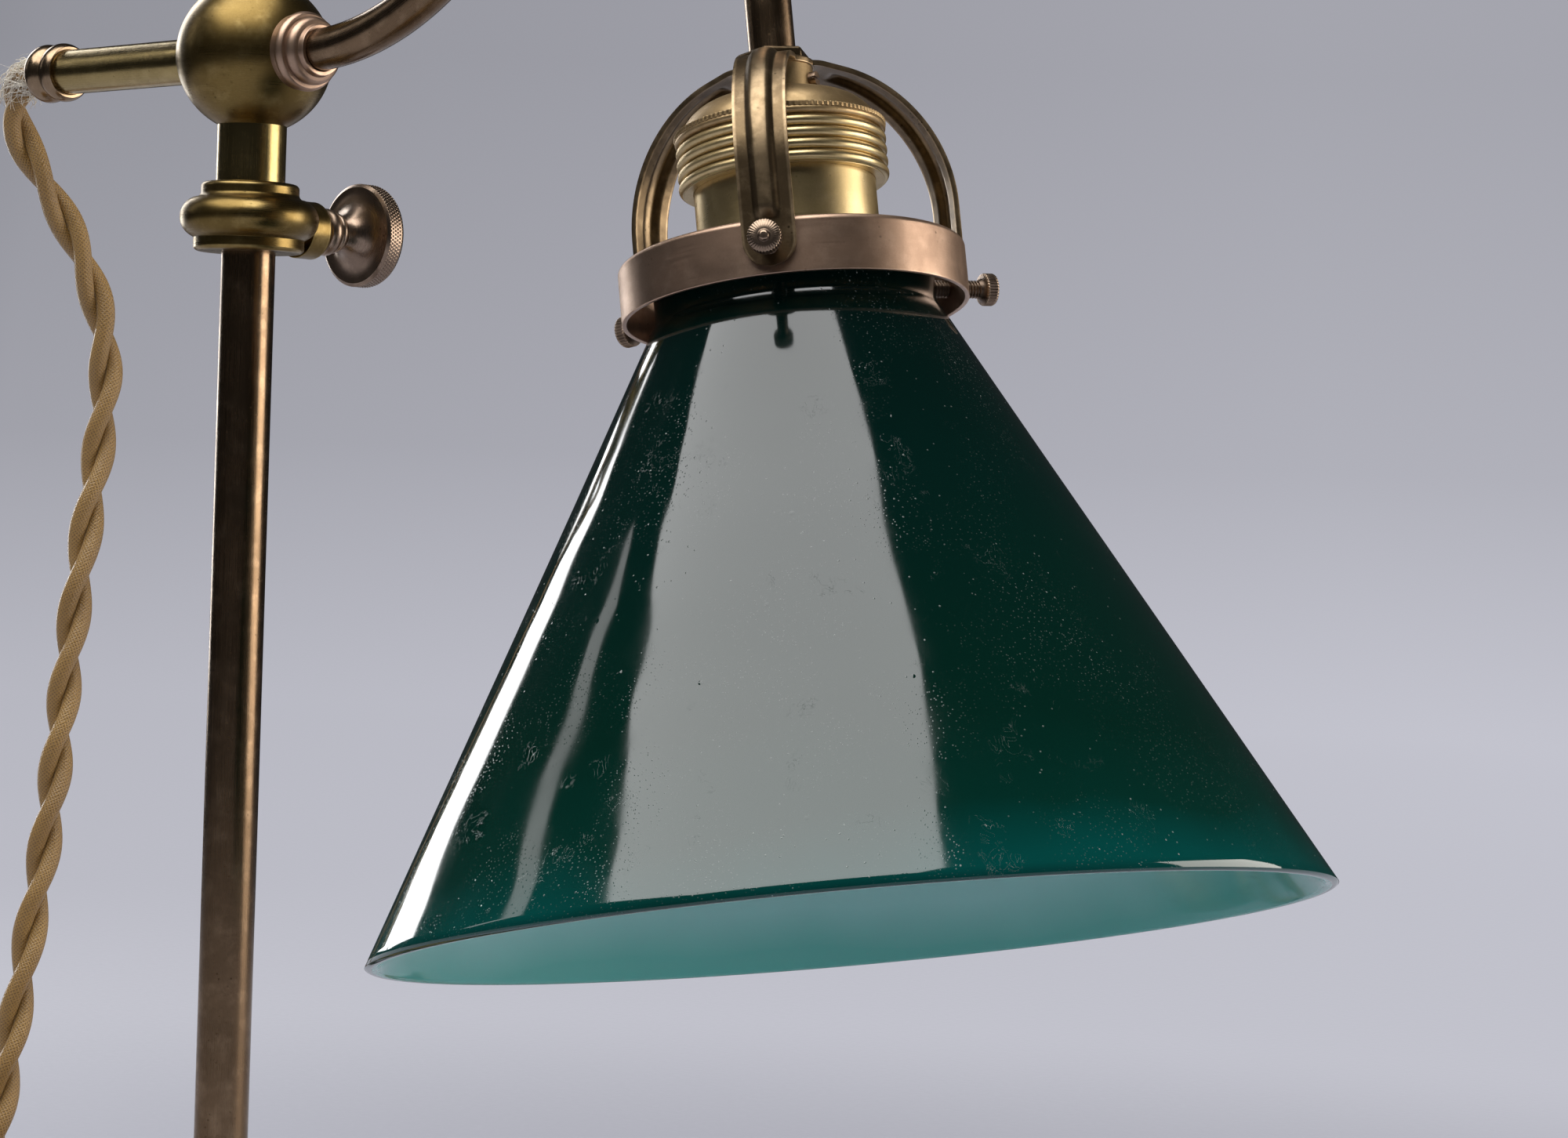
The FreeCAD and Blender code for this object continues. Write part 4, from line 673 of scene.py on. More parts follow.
CAD_MATERIALS = {
    iron: ["base_weight"], FELT: ["base_felt"], steel: ["base_washer", "foot_nut", "switch_pin",
                                                        "switch_screws",
                                                         "plug_screw", "bulb_tip"],
    bright_brass: ["post_stud", "holder_screw_shell", "holder_contact", "holder_terminals", "bulb_cap",
                   "plug_pins"],
    RUBBER: ["cord_bush", "inner_lead"], PORCELAIN: ["holder_core"], tungsten: ["bulb_filament"],
    CLEAR: ["bulb_stem", "bulb_glass"], BAKELITE: ["switch_base", "switch_cover", "switch_rocker",
                                                   "plug_body"],
    LEATHER: ["coil_tie"], cap_brass: ["holder_cap"], screw_bronze: ["holder_grub_screw"],
    aged_brass: ["base_cover", "clamp_collar", "ball_shell", "ball_neck_ring", "foot_collar", "post_finial"],
    sleeve_brass: ["slide_sleeve", "rear_tube"], barrel_brass: ["holder_shade_ring", "holder_barrel"],
    post_bronze: ["post_tube", "arm_tube", "arm_nut", "arm_collar"], ring_bronze: ["gallery_ring"],
    strap_bronze: ["gallery_spider"], ferrule_bronze: ["rear_ferrule"], knob_bronze: ["clamp_screw"],
    GREEN: ["shade"], TEXTILE: ["cord_drop", "cord_lead", "cord_coil", "cord_tail"]}
for mat, names in CAD_MATERIALS.items():
    for name in names:
        NODES[name].data.materials.clear()
        NODES[name].data.materials.append(mat)
for k in (1, 2, 3):
    NODES["gallery_screw_%d" % k].data.materials.clear()
    NODES["gallery_screw_%d" % k].data.materials.append(screw_bronze)


# ---- base and post ------------------------------------------------------------------------------
revolve("base_spun_cover", outline(
    (83.7, 2.0), (85.0, 2.0), (85.0, 5.4), ((84.1, 7.8), (81.8, 8.8)), (79.0, 8.8), (79.0, 11.4),
    ((70.5, 13.6), (63.5, 19.5)), (62.5, 22.0), ((49.0, 28.0), (31.0, 31.5)), (29.0, 33.5),
    ((18.0, 36.0), (13.5, 41.0)), (13.5, 46.0), (5.05, 46.0)),
    WORLD, "base", aged_brass, seg=192, round_to=0.5, replaces=["base_cover"])
revolve("post_round_tube", outline((6.5, 46.3), (6.5, 474.0), (5.3, 474.0), (5.3, 46.3)), WORLD, "post",
        post_bronze, seg=96, closed=True, round_to=0.15, replaces=["post_tube"])
revolve("post_foot_collar", outline(
    (6.5, 46.3), (10.4, 46.3), ((11.0, 47.9), (10.4, 49.5)), (8.8, 50.1), ((8.1, 51.9), (7.7, 54.3)),
    (7.7, 55.3), (6.5, 55.3)), WORLD, "post", aged_brass, seg=96, closed=True, replaces=["foot_collar"])
revolve("post_turned_finial", outline(
    (0, 474.0), (8.7, 474.0), ((9.5, 475.5), (8.7, 477.0)), (6.5, 477.6), ((4.5, 480.0), (5.7, 482.5)),
    ((9.5, 488.5), (5.3, 494.5)), ((3.3, 495.8), (3.1, 496.8)), ((2.8, 499.8), (1.0, 501.0)), (0, 501.0)),
    WORLD, "post", aged_brass, seg=96, replaces=["post_finial"])

# ---- sliding head -------------------------------------------------------------------------------
bore = 6.58
low = -47.4
revolve("collar_turned", outline(
    (bore, low), (12.1, low), ((12.95, low + 0.35), (13.3, low + 1.2)), (13.3, low + 3.2), (14.0, low + 3.6),
    ((16.7, -39.2), (13.7, -34.7)), ((12.4, -34.3), (11.8, -33.4)), (11.8, -32.0),
    ((11.45, -31.15), (10.6, -30.8)),
    (bore, -30.8)), HEAD, "head", aged_brass, seg=144, closed=True, round_to=0.3, replaces=["clamp_collar"])
revolve("collar_boss", outline((3.0, 14.6), (7.0, 14.6), (7.0, 19.2), ((6.8, 20.2), (6.0, 20.6)),
                               (3.0, 20.6)),
        CLAMP, "head", aged_brass, seg=72, closed=True, round_to=0.2)
revolve("clamp_thumb_screw", outline(
    (0, 6.8), (2.25, 6.8), (2.95, 7.5), (2.95, 21.8), (4.3, 21.8), ((5.8, 23.8), (4.5, 25.8)),
    ((5.0, 26.7), (4.2, 27.6)), (3.9, 28.4), ((6.4, 32.0), (11.95, 33.6)), (12.75, 34.2))
    + rows_between(12.85, 34.4, 38.0, 0.16) + outline((12.75, 38.1), (12.25, 38.7), (10.65, 38.7),
                                                      (9.95, 38.2), (0, 38.4)),
    CLAMP, "clamp_screw", knob_bronze, seg=460, shape=knurl(92, 0.32, 34.2, 38.2, 12.5, cross=4.2),
    round_to=0.15, replaces=["clamp_screw"])
revolve("slide_tube", outline((8.3, -30.8), (8.3, 26.8), (bore, 26.8), (bore, -30.8)), HEAD, "head",
        sleeve_brass, seg=96, closed=True, round_to=0.2, replaces=["slide_sleeve"])
ball = [(18.8 * math.cos(math.radians(a)), 18.8 * math.sin(math.radians(a)))
        for a in np.linspace(-63.8, 63.8, 60)]
revolve("ball_joint", ball, HEAD, "head", aged_brass, seg=160, round_to=0, replaces=["ball_shell"],
        weighted=False)
revolve("neck_bead_ring", outline(
    (8.3, 16.6), (10.7, 16.6), (10.7, 19.4), ((11.5, 21.0), (10.7, 22.6)), (9.1, 23.2), (9.1, 26.8),
    (8.3, 26.8)), HEAD, "head", aged_brass, seg=96, closed=True, replaces=["ball_neck_ring"])
revolve("rear_arm_tube", outline((5.6, 17.0), (5.6, 82.5), (4.7, 82.5), (4.7, 17.0)), REAR, "head",
        sleeve_brass, seg=80, closed=True, round_to=0.1, replaces=["rear_tube"])
revolve("rear_bead_ferrule", outline(
    (5.6, 72.8), (6.5, 72.8), ((7.4, 75.0), (6.5, 77.4)), (6.0, 78.15), (6.5, 78.9),
    ((7.4, 81.3), (6.5, 83.5)),
    (4.7, 83.5), (4.7, 82.5), (5.6, 82.5)), REAR, "head", ferrule_bronze, seg=96, closed=True,
    replaces=["rear_ferrule"])
revolve("arm_root_collar", outline(
    (5.0, 15.6), (9.0, 15.6), (9.0, 18.1), ((9.5, 19.4), (8.8, 20.6)), (7.9, 20.8),
    ((8.0, 22.4), (7.1, 23.4)),
    (6.3, 23.6), (6.1, 25.0), (5.0, 25.0)), FRONT, "head", ring_bronze, seg=96, closed=True,
    replaces=["arm_collar"])

# The gooseneck's centre line, from the ball, over the arch and down the shade's axis
RISE = math.radians(60)
TILT = math.asin(-SHADE_UP.x)
LEAN = math.pi / 2 - TILT
ARM_PLANE = Matrix.Rotation(math.atan2(-SHADE_UP.y, SHADE_UP.z), 3, "X")
arm_line = [Vector((15.0, 0, 0))]
for i in range(61):
    a = RISE * i / 60
    arm_line.append(Vector((20 + 80 * math.sin(a), 0, 80 * (1 - math.cos(a)))))
corner = arm_line[-1] + Vector((math.sin(RISE), 0, -math.cos(RISE))) * 40.7
for i in range(1, 71):
    a = RISE - (RISE + LEAN) * i / 70
    arm_line.append(corner + Vector((-math.sin(a), 0, math.cos(a))) * 40.7)
arm_line = [ARM_PLANE @ p for p in arm_line]
last = (RING - BALL) / MM + SHADE_UP * 47.1
steps = 12
arm_line += [arm_line[-1].lerp(last, i / steps) for i in range(1, steps + 1)]
tube("arm_gooseneck", [p * MM for p in arm_line], 5.0 * MM, 72, HEAD, "head", post_bronze,
     replaces=["arm_tube"])

# ---- gallery ------------------------------------------------------------------------------------
revolve("gallery_turned_ring", outline(
    (35.6, 0), (36.6, 0), (36.6, 10.6), ((36.25, 11.45), (35.4, 11.8)), (33.4, 11.8), (33.4, 10.8),
    (35.6, 10.8)), SHADE, "head", ring_bronze, seg=256, closed=True, round_to=0.3, replaces=["gallery_ring"])


def hexagon_nut(name, across, low, high, place, body, mat, **more):
    mesh = bpy.data.meshes.new(name)
    bm = bmesh.new()
    bore = 5.0
    corner = across / math.sqrt(3)
    rings = []
    for r_out, z in ((corner, low), (corner, high - 0.5), (corner * 0.93, high)):
        rings.append([bm.verts.new((r_out * MM * math.cos(math.radians(60 * i)),
                                    r_out * MM * math.sin(math.radians(60 * i)), z * MM)) for i in range(6)])
    inner = [[bm.verts.new((bore * MM * math.cos(math.radians(60 * i)),
                            bore * MM * math.sin(math.radians(60 * i)),
                            z * MM)) for i in range(6)] for z in (high, low)]
    loops = rings + inner
    for a, b in zip(loops, loops[1:] + loops[:1]):
        for i in range(6):
            bm.faces.new((a[i], a[(i + 1) % 6], b[(i + 1) % 6], b[i]))
    bmesh.ops.recalc_face_normals(bm, faces=bm.faces)
    bm.to_mesh(mesh)
    bm.free()
    mesh.attributes.new("edge", "FLOAT", "POINT")
    return finish_mesh(mesh, place, body, mat, bevel=0.25, **more)


hexagon_nut("arm_hex_nut", 14.0, 53.9, 56.4, SHADE, "head", strap_bronze, replaces=["arm_nut"])


def strap_piece(index):
    """One strap with its pressed rib, as a thin sheet, thickened."""
    slope = math.radians(12.5)
    hub, reach = 53.3, 37.2
    shoulder = hub - (14.0 - 8.5) * math.tan(slope)
    bend = (reach - 14.0) / (1 - math.sin(slope))
    foot = 1.4
    centre_x, centre_z = reach - bend, shoulder - bend * math.cos(slope)
    path = [(4.6, hub), (6.5, hub), (8.0, hub), (9.0, hub - 0.11)]
    start = (centre_x + bend * math.sin(slope), centre_z + bend * math.cos(slope))
    for i in range(1, 7):
        t = i / 6
        path.append((9.0 + (start[0] - 9.0) * t, hub - 0.11 + (start[1] - hub + 0.11) * t))
    for i in range(1, 41):
        a = slope + (math.pi / 2 - slope) * i / 40
        path.append((centre_x + bend * math.sin(a), centre_z + bend * math.cos(a)))
    for i in range(1, 41):
        path.append((reach, centre_z + (foot - centre_z) * i / 40))
    dist = [0.0]
    for a, b in zip(path, path[1:]):
        dist.append(dist[-1] + math.hypot(b[0] - a[0], b[1] - a[1]))
    rib_from, rib_to = dist[7], dist[-1] - 10.0
    columns = 28
    verts, edge, uv = [], [], []
    for i, (x, z) in enumerate(path):
        a = path[max(i - 1, 0)]
        b = path[min(i + 1, len(path) - 1)]
        run = math.hypot(b[0] - a[0], b[1] - a[1])
        nx, nz = -(b[1] - a[1]) / run, (b[0] - a[0]) / run
        half = 5.5
        below = z - foot
        if below < 5.5 and x > reach - 1:
            half = max(0.25, math.sqrt(max(0.0, 5.5 ** 2 - (5.5 - below) ** 2)))
        rise = min(1.0, max(0.0, (dist[i] - rib_from) / 3.0))
        fade = rise * min(1.0, max(0.0, (rib_to - dist[i]) / 3.0))
        fade = math.sin(fade * math.pi / 2)
        for j in range(columns + 1):
            w = half * (2 * j / columns - 1)
            lift = 1.15 * fade * max(0.0, 1 - (abs(w) / 2.5) ** 3.2) if abs(w) < 2.5 else 0.0
            dish = 0.12 * (1 - abs(w) / 5.5)
            verts.append(Vector((x + nx * (lift + dish), w, z + nz * (lift + dish))) * MM)
            # The rib's top and the sheet's edges get positive values (wear); the rib's flanks get negative
            # ones, darkened partly as patina and partly as painted shade.
            edge.append(0.55 * fade if abs(w) < 1.4 else (-0.5 * fade if abs(w) < 3.1 else
                                                         (0.8 if abs(w) > half - 0.5 else 0.0)))
            uv.append((w * MM, dist[i] * MM))
    faces, uvs = [], []
    for i in range(len(path) - 1):
        for j in range(columns):
            a = i * (columns + 1) + j
            quad = [a, a + 1, a + columns + 2, a + columns + 1]
            faces.append(quad)
            uvs.append([uv[n] for n in quad])
    mesh = mesh_of("spider_strap_%d" % (index + 1), verts, faces, uvs, edge)
    angle = math.radians(185.5 + 120 * index)
    obj = finish_mesh(mesh, SHADE @ Matrix.Rotation(angle, 4, "Z"), None, strap_bronze, weighted=False)
    solid = obj.modifiers.new("thick", "SOLIDIFY")
    solid.thickness = 1.1 * MM
    solid.offset = 0.0
    bevel = obj.modifiers.new("bevel", "BEVEL")
    bevel.width = 0.22 * MM
    bevel.segments = 2
    bevel.limit_method = "ANGLE"
    bevel.angle_limit = math.radians(50)
    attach(obj, "head")
    return obj


straps = [strap_piece(i) for i in range(3)]
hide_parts("gallery_spider")
revolve("spider_hub", outline((5.0, 52.6), (8.6, 52.6), (8.6, 54.0), (5.0, 54.0)), SHADE, "head",
        strap_bronze, seg=72, closed=True, round_to=0.3)


def gallery_screw(index):
    tip, face = 30.0, 46.4
    back = face - 2.5
    shank = rows_between(1.95, tip + 0.6, back - 1.0, 0.09)
    points = [(0, tip), (1.35, tip)] + shank + [(2.5, back), (3.35, back + 0.05)] \
        + rows_between(3.5, back + 0.3, face - 0.3, 0.3) \
        + outline((3.3, face), (1.5, face - 0.02), (1.1, face), ((0.9, face + 0.45), (0.5, face + 0.6)),
                  (0, face + 0.6))
    thread = helical(0.7, 0.36, tip + 0.5, back - 1.1, 1.4)
    grip = knurl(34, 0.22, back + 0.2, face - 0.2, 3.2)

    def shape(r, z, t):
        return grip(thread(r, z, t), z, t)

    axis = SCREW_AXES[index]
    origin = SCREW_POINTS[index] - axis * 0.040
    revolve("gallery_thumb_screw_%d" % (index + 1), points, frame_at(origin, axis, SHADE_UP),
            "gallery_screw_%d" % (index + 1), screw_bronze, seg=204, shape=shape, round_to=0,
            replaces=["gallery_screw_%d" % (index + 1)])


for i in range(3):
    gallery_screw(i)

# ---- lampholder and bulb ------------------------------------------------------------------------
revolve("holder_spun_cap", outline((20.6, 37.3), (21.5, 37.3), ((22.35, 38.1), (22.2, 38.7)))
        + rows_between(22.5, 38.8, 39.6, 0.2) + outline(
            (22.1, 39.75), (21.0, 39.9), ((17.7, 44.1), (10.8, 45.9)), (8.2, 46.9), (8.2, 52.7), (5.0, 52.7)),
        SHADE, "head", cap_brass, seg=720, shape=knurl(120, 0.22, 38.7, 39.7, 22.3), round_to=0.2,
        replaces=["holder_cap"])
beads = [(19.3, 27.1), (21.2, 27.1)]
for i in range(4):
    low = 27.1 + i * 2.5
    beads += outline((21.2, low + 0.12), ((22.3, low + 1.25), (21.2, low + 2.38)))
revolve("holder_reeded_ring", beads + [(21.2, 37.3), (19.3, 37.3)], SHADE, "head", barrel_brass, seg=160,
        closed=True, round_to=0.1, replaces=["holder_shade_ring"])
revolve("holder_drawn_barrel", outline(
    (18.35, 37.0), (18.35, -8.0), (19.25, -8.0), (19.25, 27.2)), SHADE, "head", barrel_brass, seg=144,
    round_to=0.25, replaces=["holder_barrel"])
revolve("bulb_threaded_cap", outline((12.4, -4.4), (13.1, -4.4)) + rows_between(13.1, -4.0, 16.0, 0.4)
        + outline((12.9, 16.4), (10.1, 19.4), (5.0, 20.6), (0, 20.6)), SHADE, "head", bright_brass, seg=96,
    shape=helical(3.6, 1.1, -3.0, 15.0, 12.9), round_to=0.2, replaces=["bulb_cap"])


def bulb_outline(inset):
    r = 30.0 - inset
    middle = 22.4 - 105.0 + 30.0
    neck = 12.4 - inset
    join = math.radians(33.0)
    side = math.radians(-28.0)
    foot = -4.4
    return outline((neck, foot + 4.0), (neck, foot - 2.0),
                   ((neck + 3.6, foot - 15.0), (r * math.cos(join), middle + r * math.sin(join))),
                   ((r * math.cos(side), middle + r * math.sin(side)), (0, middle - r)))


revolve("bulb_blown_glass", bulb_outline(0)[::-1] + bulb_outline(0.8), SHADE, "head", CLEAR, seg=128,
        round_to=0, weighted=False, replaces=["bulb_glass"])

# ---- glass shade --------------------------------------------------------------------------------
neck_r, rim_r, drop, wall = 29.6, 99.8, 130.3, 3.0
flat = wall / math.cos(math.atan2(rim_r - neck_r, drop))


def straight(a, b, count):
    return [(a[0] + (b[0] - a[0]) * i / count, a[1] + (b[1] - a[1]) * i / count) for i in range(count + 1)]


def blown(r, z, t):
    """The slow unevenness of a mould-blown cone, always inside its nominal outline."""
    if z > 2.0:
        return r
    share = min(1.0, (2.0 - z) / 40.0)
    wave = (0.5 * math.sin(2 * t + 0.7) + 0.3 * math.sin(3 * t + z * 0.03)
            + 0.2 * math.sin(5 * t - z * 0.05 + 1.0))
    return r - share * (0.25 - 0.18 * wave)


outer = outline((neck_r - 1.6, 10.0), (30.2, 10.0), ((31.2, 9.0), (30.5, 8.0)), (neck_r, 7.4), (neck_r, 0.4),
                ((neck_r + 0.35, -1.2), (neck_r + 1.3, -2.8)))
outer += straight(outer[-1], (rim_r - 0.25, -drop + 0.5), 60)[1:]
outer += outline((rim_r - 0.25, -drop + 0.5), ((rim_r - flat * 0.3, -drop + 0.05),
                                               (rim_r - flat / 2, -drop)))[1:]
inner = outline((rim_r - flat / 2, -drop), ((rim_r - flat * 0.75, -drop + 0.12),
                                            (rim_r - flat + 0.3, -drop + 0.5)))
inner += straight(inner[-1], (neck_r - 1.0, -4.4), 60)[1:]
inner += outline((neck_r - 1.0, -4.4), ((neck_r - 2.5, -2.0), (neck_r - 3.0, 0.4)), (neck_r - 3.0, 9.4),
                 ((neck_r - 2.4, 9.85), (neck_r - 1.6, 10.0)))[1:]
revolve("shade_green_layer", outer, SHADE, "head", GREEN, seg=320, shape=blown, round_to=0, weighted=False,
        replaces=["shade"])
revolve("shade_opal_layer", inner, SHADE, "head", OPAL, seg=256, shape=blown, round_to=0, weighted=False)

# ---- cord ---------------------------------------------------------------------------------------
exit_point = BALL + Vector((-83.5, 0, 0)) * MM
DROP = [(0, 0, 0), (-8.0, 0, 0), (-14.5, 0.8, -5.2), (-15.5, 3.6, -14.0), (-12.2, 10.4, -27.0),
        (-8.6, 20.2, -44.0), (-6.7, 28.0, -67.0), (-7.8, 27.2, -93.0), (-7.6, 22.3, -122.0),
        (-8.2, 18.6, -155.0), (-8.2, 15.0, -191.0), (-9.4, 9.6, -226.5), (-11.0, 5.0, -260.0),
        (-13.5, 1.8, -288.0), (-19.0, 0.5, -310.0), (-32.5, 0.0, -330.0)]
# On the table: round to the switch, straight through it, and on to the coil
TABLE = [(-134.0, 8.0), (-148.0, 23.0), (-152.0, 44.0), (-145.0, 64.5), (-75.8, 149.1), (-55.0, 170.7)]
LIE = 4.7
route = [exit_point + Vector(p) * MM for p in DROP]
route += [Vector((x, y, LIE)) * MM for x, y in TABLE]
coil_low, coil_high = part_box("cord_coil")
COIL = Vector(((coil_low.x + coil_high.x) / 2, (coil_low.y + coil_high.y) / 2, 0))
# Four turns, two by two, and the last short stretch on top: (turns so far, sideways, height)
LAYS = [(0.0, 6.0, 4.9), (0.06, 5.0, 5.4), (0.6, 5.0, 5.4), (1.0, -5.0, 5.4), (1.55, -5.0, 5.4),
        (2.0, -4.9, 15.0), (2.6, -4.9, 15.0), (3.0, 4.9, 15.0), (3.6, 4.9, 15.0), (3.95, 0.4, 23.4),
        (4.3, 0.4, 23.6)]
START_ANGLE = math.radians(148)
TOTAL_TURNS = 4 + 58 / 360
PER_TURN = 18
count = int(PER_TURN * TOTAL_TURNS)
for i in range(count + 1):
    lap = TOTAL_TURNS * i / count
    for (l0, s0, u0), (l1, s1, u1) in zip(LAYS, LAYS[1:]):
        if l0 <= lap <= l1:
            f = (lap - l0) / (l1 - l0)
            f = f * f * (3 - 2 * f)
            side, rise = s0 + (s1 - s0) * f, u0 + (u1 - u0) * f
    a = START_ANGLE - lap * 2 * math.pi
    route.append(COIL + Vector(((50.0 + side) * math.cos(a), (50.0 + side) * math.sin(a), rise)) * MM)
for x, y, z in ((12.0, 51.0, 24.6), (25.0, 50.6, 24.4), (42.0, 49.0, 20.2), (52.0, 48.0, 19.2),
                (62.0, 47.0, 19.2)):
    route.append(COIL + Vector((x, y, z)) * MM)


def nurbs_line(points, name):
    curve = bpy.data.curves.new(name, "CURVE")
    curve.dimensions = "3D"
    curve.resolution_u = 12
    spline = curve.splines.new("NURBS")
    spline.points.add(len(points) - 1)
    for sp, p in zip(spline.points, points):
        sp.co = (*p, 1)
    spline.order_u = 3
    spline.use_endpoint_u = True
    obj = bpy.data.objects.new(name, curve)
    bpy.context.scene.collection.objects.link(obj)
    bpy.context.view_layer.update()
    mesh = bpy.data.meshes.new_from_object(obj)
    line = [v.co.copy() for v in mesh.vertices]
    bpy.data.meshes.remove(mesh)
    bpy.data.objects.remove(obj)
    bpy.data.curves.remove(curve)
    return line


def evenly(points, step):
    out = [points[0]]
    left = step
    for a, b in zip(points, points[1:]):
        run = (b - a).length
        at = left
        while at <= run:
            out.append(a.lerp(b, at / run))
            at += step
        left = at - run
    if (out[-1] - points[-1]).length > step * 0.3:
        out.append(points[-1])
    return out


line = nurbs_line(route, "cord_route")
fine = evenly(line, 0.0011)
TWIST = 0.042
STRAND = 2.35
carried = frames_along(fine)
all_verts, all_faces, all_uvs = [], [], []
for phase in (0.0, math.pi):
    centre_line = []
    dist = 0.0
    for i, (p, (t, s, n)) in enumerate(zip(fine, carried)):
        if i:
            dist += (fine[i] - fine[i - 1]).length
        a = 2 * math.pi * dist / TWIST + phase + 0.15 * math.sin(dist * 61 + 1.0)
        offset = 2.12 * MM
        centre_line.append(p + (s * math.cos(a) + n * math.sin(a)) * offset)
    verts, faces, uvs = tube_data(centre_line, STRAND * MM, 14)
    base = len(all_verts)
    all_verts += verts
    all_faces += [[base + n for n in f] for f in faces]
    all_uvs += uvs
cord = finish_mesh(mesh_of("cord_twisted_pair", all_verts, all_faces, all_uvs, [0.0] * len(all_verts)),
                   WORLD, None,
                   TEXTILE, weighted=False, replaces=["cord_drop", "cord_lead", "cord_coil", "cord_tail"])
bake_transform(cord)

def frayed_end():
    """Cotton packing that has worked out of the ferrule round the cord, with stray fibres."""
    verts, faces, uvs = [], [], []
    head = [exit_point + Vector((0.0025, 0, 0))] + [p for p in evenly(line, 0.001)[:26]]
    sides = frames_along(head)
    for i in range(210):
        loose = i >= 175
        turn = rng.uniform(0, 2 * math.pi)
        start = rng.uniform(2.2, 4.3)
        end = rng.uniform(4.6, 8.5) if loose else rng.uniform(3.4, 5.6)
        reach = rng.randint(6, 13) if loose else rng.randint(7, 19)
        first = rng.randint(0, 2)
        curl = rng.uniform(-1.6, 1.6)
        points = []
        for k in range(first, reach + 1):
            share = (k - first) / (reach - first)
            a = turn + curl * share
            r = (start + (end - start) * share ** 0.6 + 0.35 * math.sin(k * 1.3 + i)) * MM
            points.append(head[k] + (sides[k][1] * math.cos(a) + sides[k][2] * math.sin(a)) * r)
        thick = rng.uniform(0.035, 0.06) if loose else rng.uniform(0.09, 0.2)
        radii = [thick * MM * (1 - 0.6 * k / len(points)) for k in range(len(points))]
        v, f, u = tube_data(points, radii, 5)
        faces += [[n + len(verts) for n in face] for face in f]
        verts += v
        uvs += u
    finish_mesh(mesh_of("cord_frayed_packing", verts, faces, uvs, [0.0] * len(verts)), WORLD, "head", COTTON,
                weighted=False, slot="gold_textile")


frayed_end()
relief_line = evenly(line, 0.0005)[-46:]
relief = []
for i in range(len(relief_line)):
    share = i / (len(relief_line) - 1)
    groove = 0.35 if (i // 3) % 2 and 3 < i < 40 else 0.0
    relief.append((4.9 + 2.3 * share - groove) * MM)
plug_relief = tube("plug_tapered_sleeve", relief_line, relief, 40, WORLD, "post", RUBBER)

# ---- floor, light and camera --------------------------------------------------------------------
VIEW = math.radians(45.83)
TOWARDS = Vector((math.sin(VIEW), -math.cos(VIEW), 0))
RIGHT = Vector((math.cos(VIEW), math.sin(VIEW), 0))


def paper(name):
    """Pale matt paper that glows, as painted light, away from the object: brighter to one side and lower
    down, while its own colour darkens far out so the glow takes its place.
    """
    m = Mat(name, "")
    del m.mat["slot"]
    m.set("Roughness", m.fit(m.noise(300, 3.0), 0.3, 0.7, 0.75, 0.9))
    parts = m.tree.nodes.new("ShaderNodeSeparateXYZ")
    m.put(parts.inputs[0], m.object())
    reach = m.node("VectorMath", 1, {"operation": "LENGTH"})
    m.put(reach.node.inputs[0], m.object())
    pale = m.ramp(m.noise(0.8, 2.0), (0.3, (0.40, 0.405, 0.46)), (0.7, (0.42, 0.425, 0.48)))
    # Far from the object the paper's own colour is darkened, so the painted glow below stands in for its
    # lighting.
    m.set("Base Color", m.mix(m.node("MapRange", 0, {"interpolation_type": "SMOOTHSTEP"}, Value=reach,
                                     From_Min=0.35,
                                       From_Max=1.0), pale, (0.03, 0.03, 0.032)))
    # Painted light: the paper glows more towards the camera's right and lower down, fading in away from the
    # object.
    across = m.math("ADD", m.math("MULTIPLY", parts.outputs[0], RIGHT.x),
                    m.math("MULTIPLY", parts.outputs[1], RIGHT.y))
    glow = m.math("ADD", m.fit(across, -1.2, 1.2, 0.30, 0.40), m.fit(across, -1.2, -0.8, -0.06, 0.0))
    glow = m.math("ADD", glow, m.fit(parts.outputs[2], 0.0, 1.0, 0.08, -0.02))
    glow = m.math("ADD", glow, m.fit(parts.outputs[2], 0.0, 0.35, 0.08, 0.0))
    m.set("Emission Color", m.ramp(m.noise(0.5, 1.0), (0.3, (0.95, 0.955, 1.07)), (0.7, (0.96, 0.965, 1.08))))
    far = m.node("MapRange", 0, {"interpolation_type": "SMOOTHSTEP"}, Value=reach, From_Min=0.35,
                 From_Max=1.0)
    m.set("Emission Strength", m.math("MULTIPLY", glow, far))
    return m.mat


PAPER = paper("paper")
floor = revolve("floor", straight((0, -0.5), (1300, -0.5), 8), WORLD, None, PAPER, seg=96, round_to=0,
                weighted=False)
sweep = revolve("backdrop", outline((1300, -0.5), (4200, -0.5), ((5330, 467), (5800, 1600)), (5800, 5200)),
                WORLD, None, PAPER, seg=96, round_to=0, weighted=False)
sweep.visible_glossy = False

world = bpy.data.worlds.new("world")
bpy.context.scene.world = world
world.use_nodes = True
world.node_tree.nodes["Background"].inputs[0].default_value = (0.20, 0.21, 0.23, 1)
world.node_tree.nodes["Background"].inputs[1].default_value = 0.1

CAMERA = Vector((0.7638, -0.6256, 0.2345))


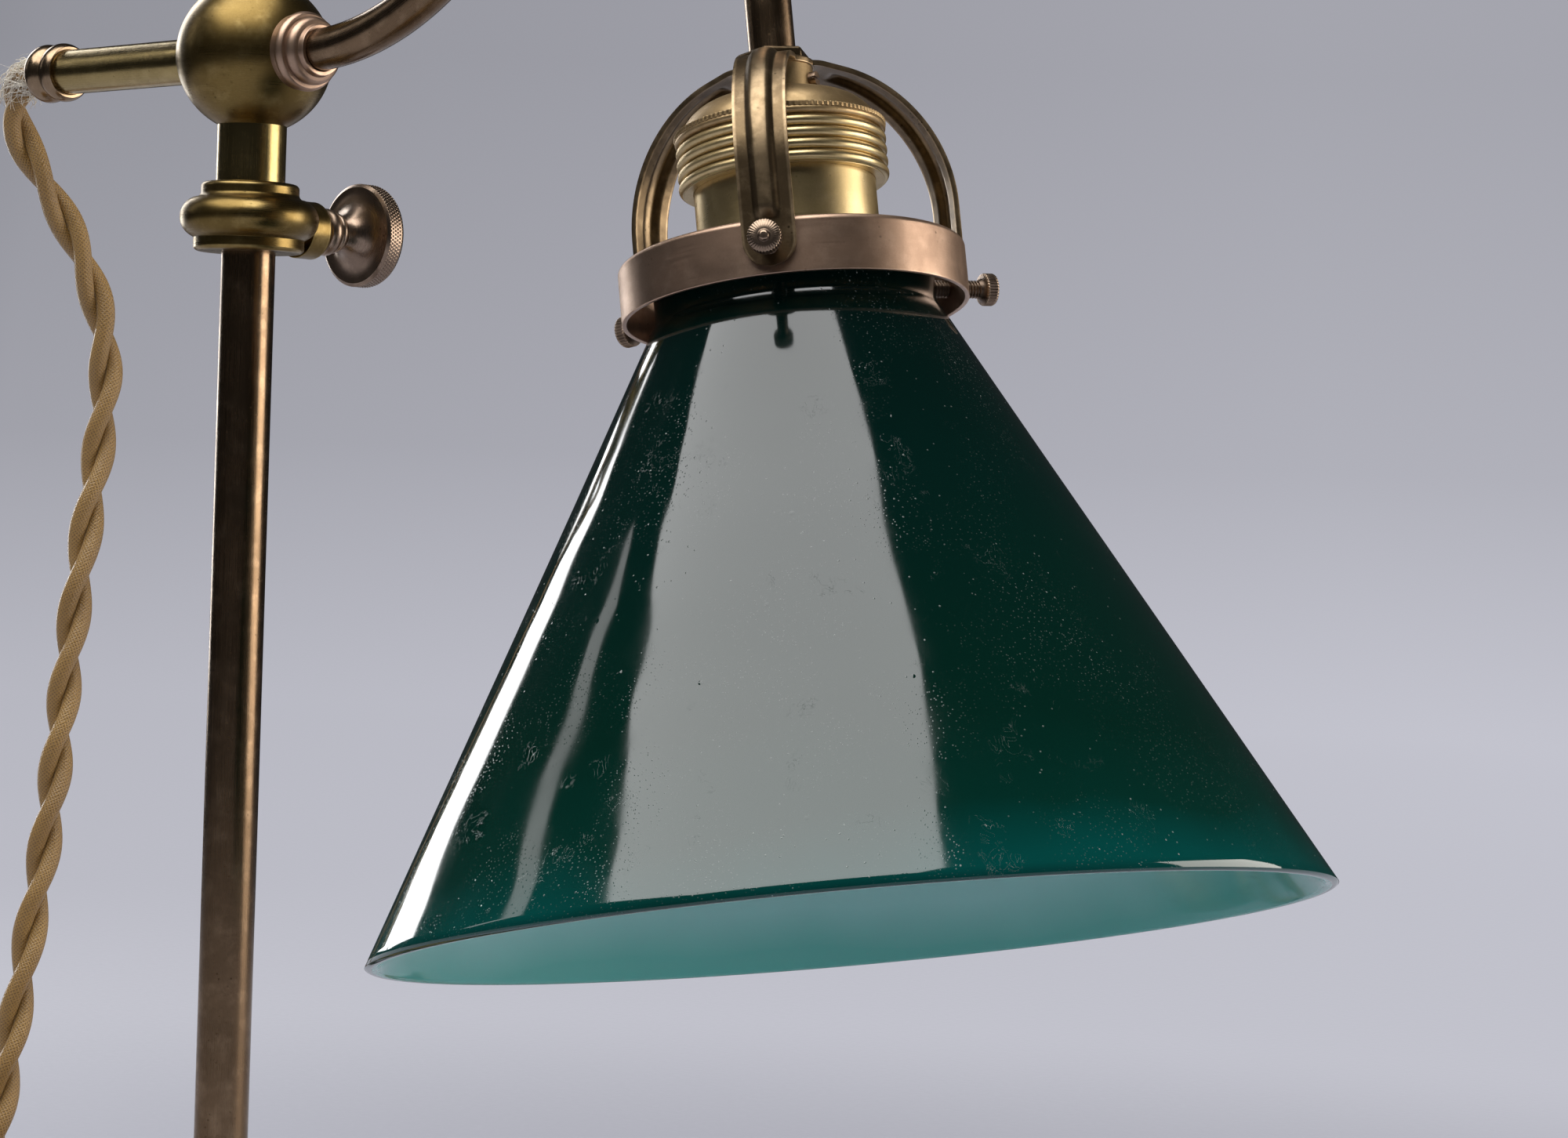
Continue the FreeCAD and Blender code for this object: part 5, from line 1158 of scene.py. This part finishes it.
def softbox(name, azimuth, elevation, distance, width, height, radiance, colour=(1, 1, 1), target=None):
    """A soft light placed round the shade; azimuth 0 is towards the camera, and positive is to its right."""
    target = target or Vector((0.14, 0, 0.25))
    a, e = math.radians(azimuth), math.radians(elevation)
    way = (TOWARDS * math.cos(a) + RIGHT * math.sin(a)) * math.cos(e) + Vector((0, 0, math.sin(e)))
    light = bpy.data.lights.new(name, "AREA")
    light.shape = "RECTANGLE"
    light.size = width
    light.size_y = height
    light.energy = radiance * math.pi * width * height
    light.color = colour
    obj = bpy.data.objects.new(name, light)
    bpy.context.scene.collection.objects.link(obj)
    obj.matrix_world = frame_at(target + way * distance, way,
                                (RIGHT if elevation > 60 else Vector((0, 0, 1)).cross(way)))
    return obj


def overhead(name, along, across, height, deep, wide, radiance):
    """A level panel over the lamp, placed from the shade towards the camera and to its right."""
    light = bpy.data.lights.new(name, "AREA")
    light.shape = "RECTANGLE"
    light.size = wide
    light.size_y = deep
    light.energy = radiance * math.pi * wide * deep
    obj = bpy.data.objects.new(name, light)
    bpy.context.scene.collection.objects.link(obj)
    place = Vector((0.2, 0, 0.22)) + TOWARDS * along + RIGHT * across + Vector((0, 0, height))
    obj.matrix_world = frame_at(place, (0, 0, 1), RIGHT)
    return obj


overhead("overhead", 0.36, -0.52, 1.2, 1.3, 1.5, 4.4)
softbox("left_back", -148, 14, 1.5, 0.36, 1.0, 6.5)
softbox("left_side", -112, 24, 1.4, 0.11, 0.55, 1.7)
softbox("right_side", 90, 8, 1.3, 0.80, 0.75, 5.2, (1.0, 0.94, 0.87))

camera = bpy.data.cameras.new("camera")
camera.lens = 5168.3 / 2000 * 36
camera.sensor_width = 36
camera.clip_start = 0.05
camera.clip_end = 50
cam = bpy.data.objects.new("camera", camera)
bpy.context.scene.collection.objects.link(cam)
yaw, pitch, roll = math.radians(2.813), math.radians(-0.531), math.radians(1.865)
look = -TOWARDS * math.cos(yaw) + RIGHT * math.sin(yaw)
right = look.cross(Vector((0, 0, 1)))
look = look * math.cos(pitch) + Vector((0, 0, 1)) * math.sin(pitch)
up = right.cross(look)
right, up = right * math.cos(roll) + up * math.sin(roll), -right * math.sin(roll) + up * math.cos(roll)
cam.matrix_world = Matrix.Translation(CAMERA) @ Matrix((right, up, -look)).transposed().to_4x4()
bpy.context.scene.camera = cam
bpy.context.scene.view_settings.view_transform = "Standard"

[tuple(p) for p in evenly(line, 0.003)]
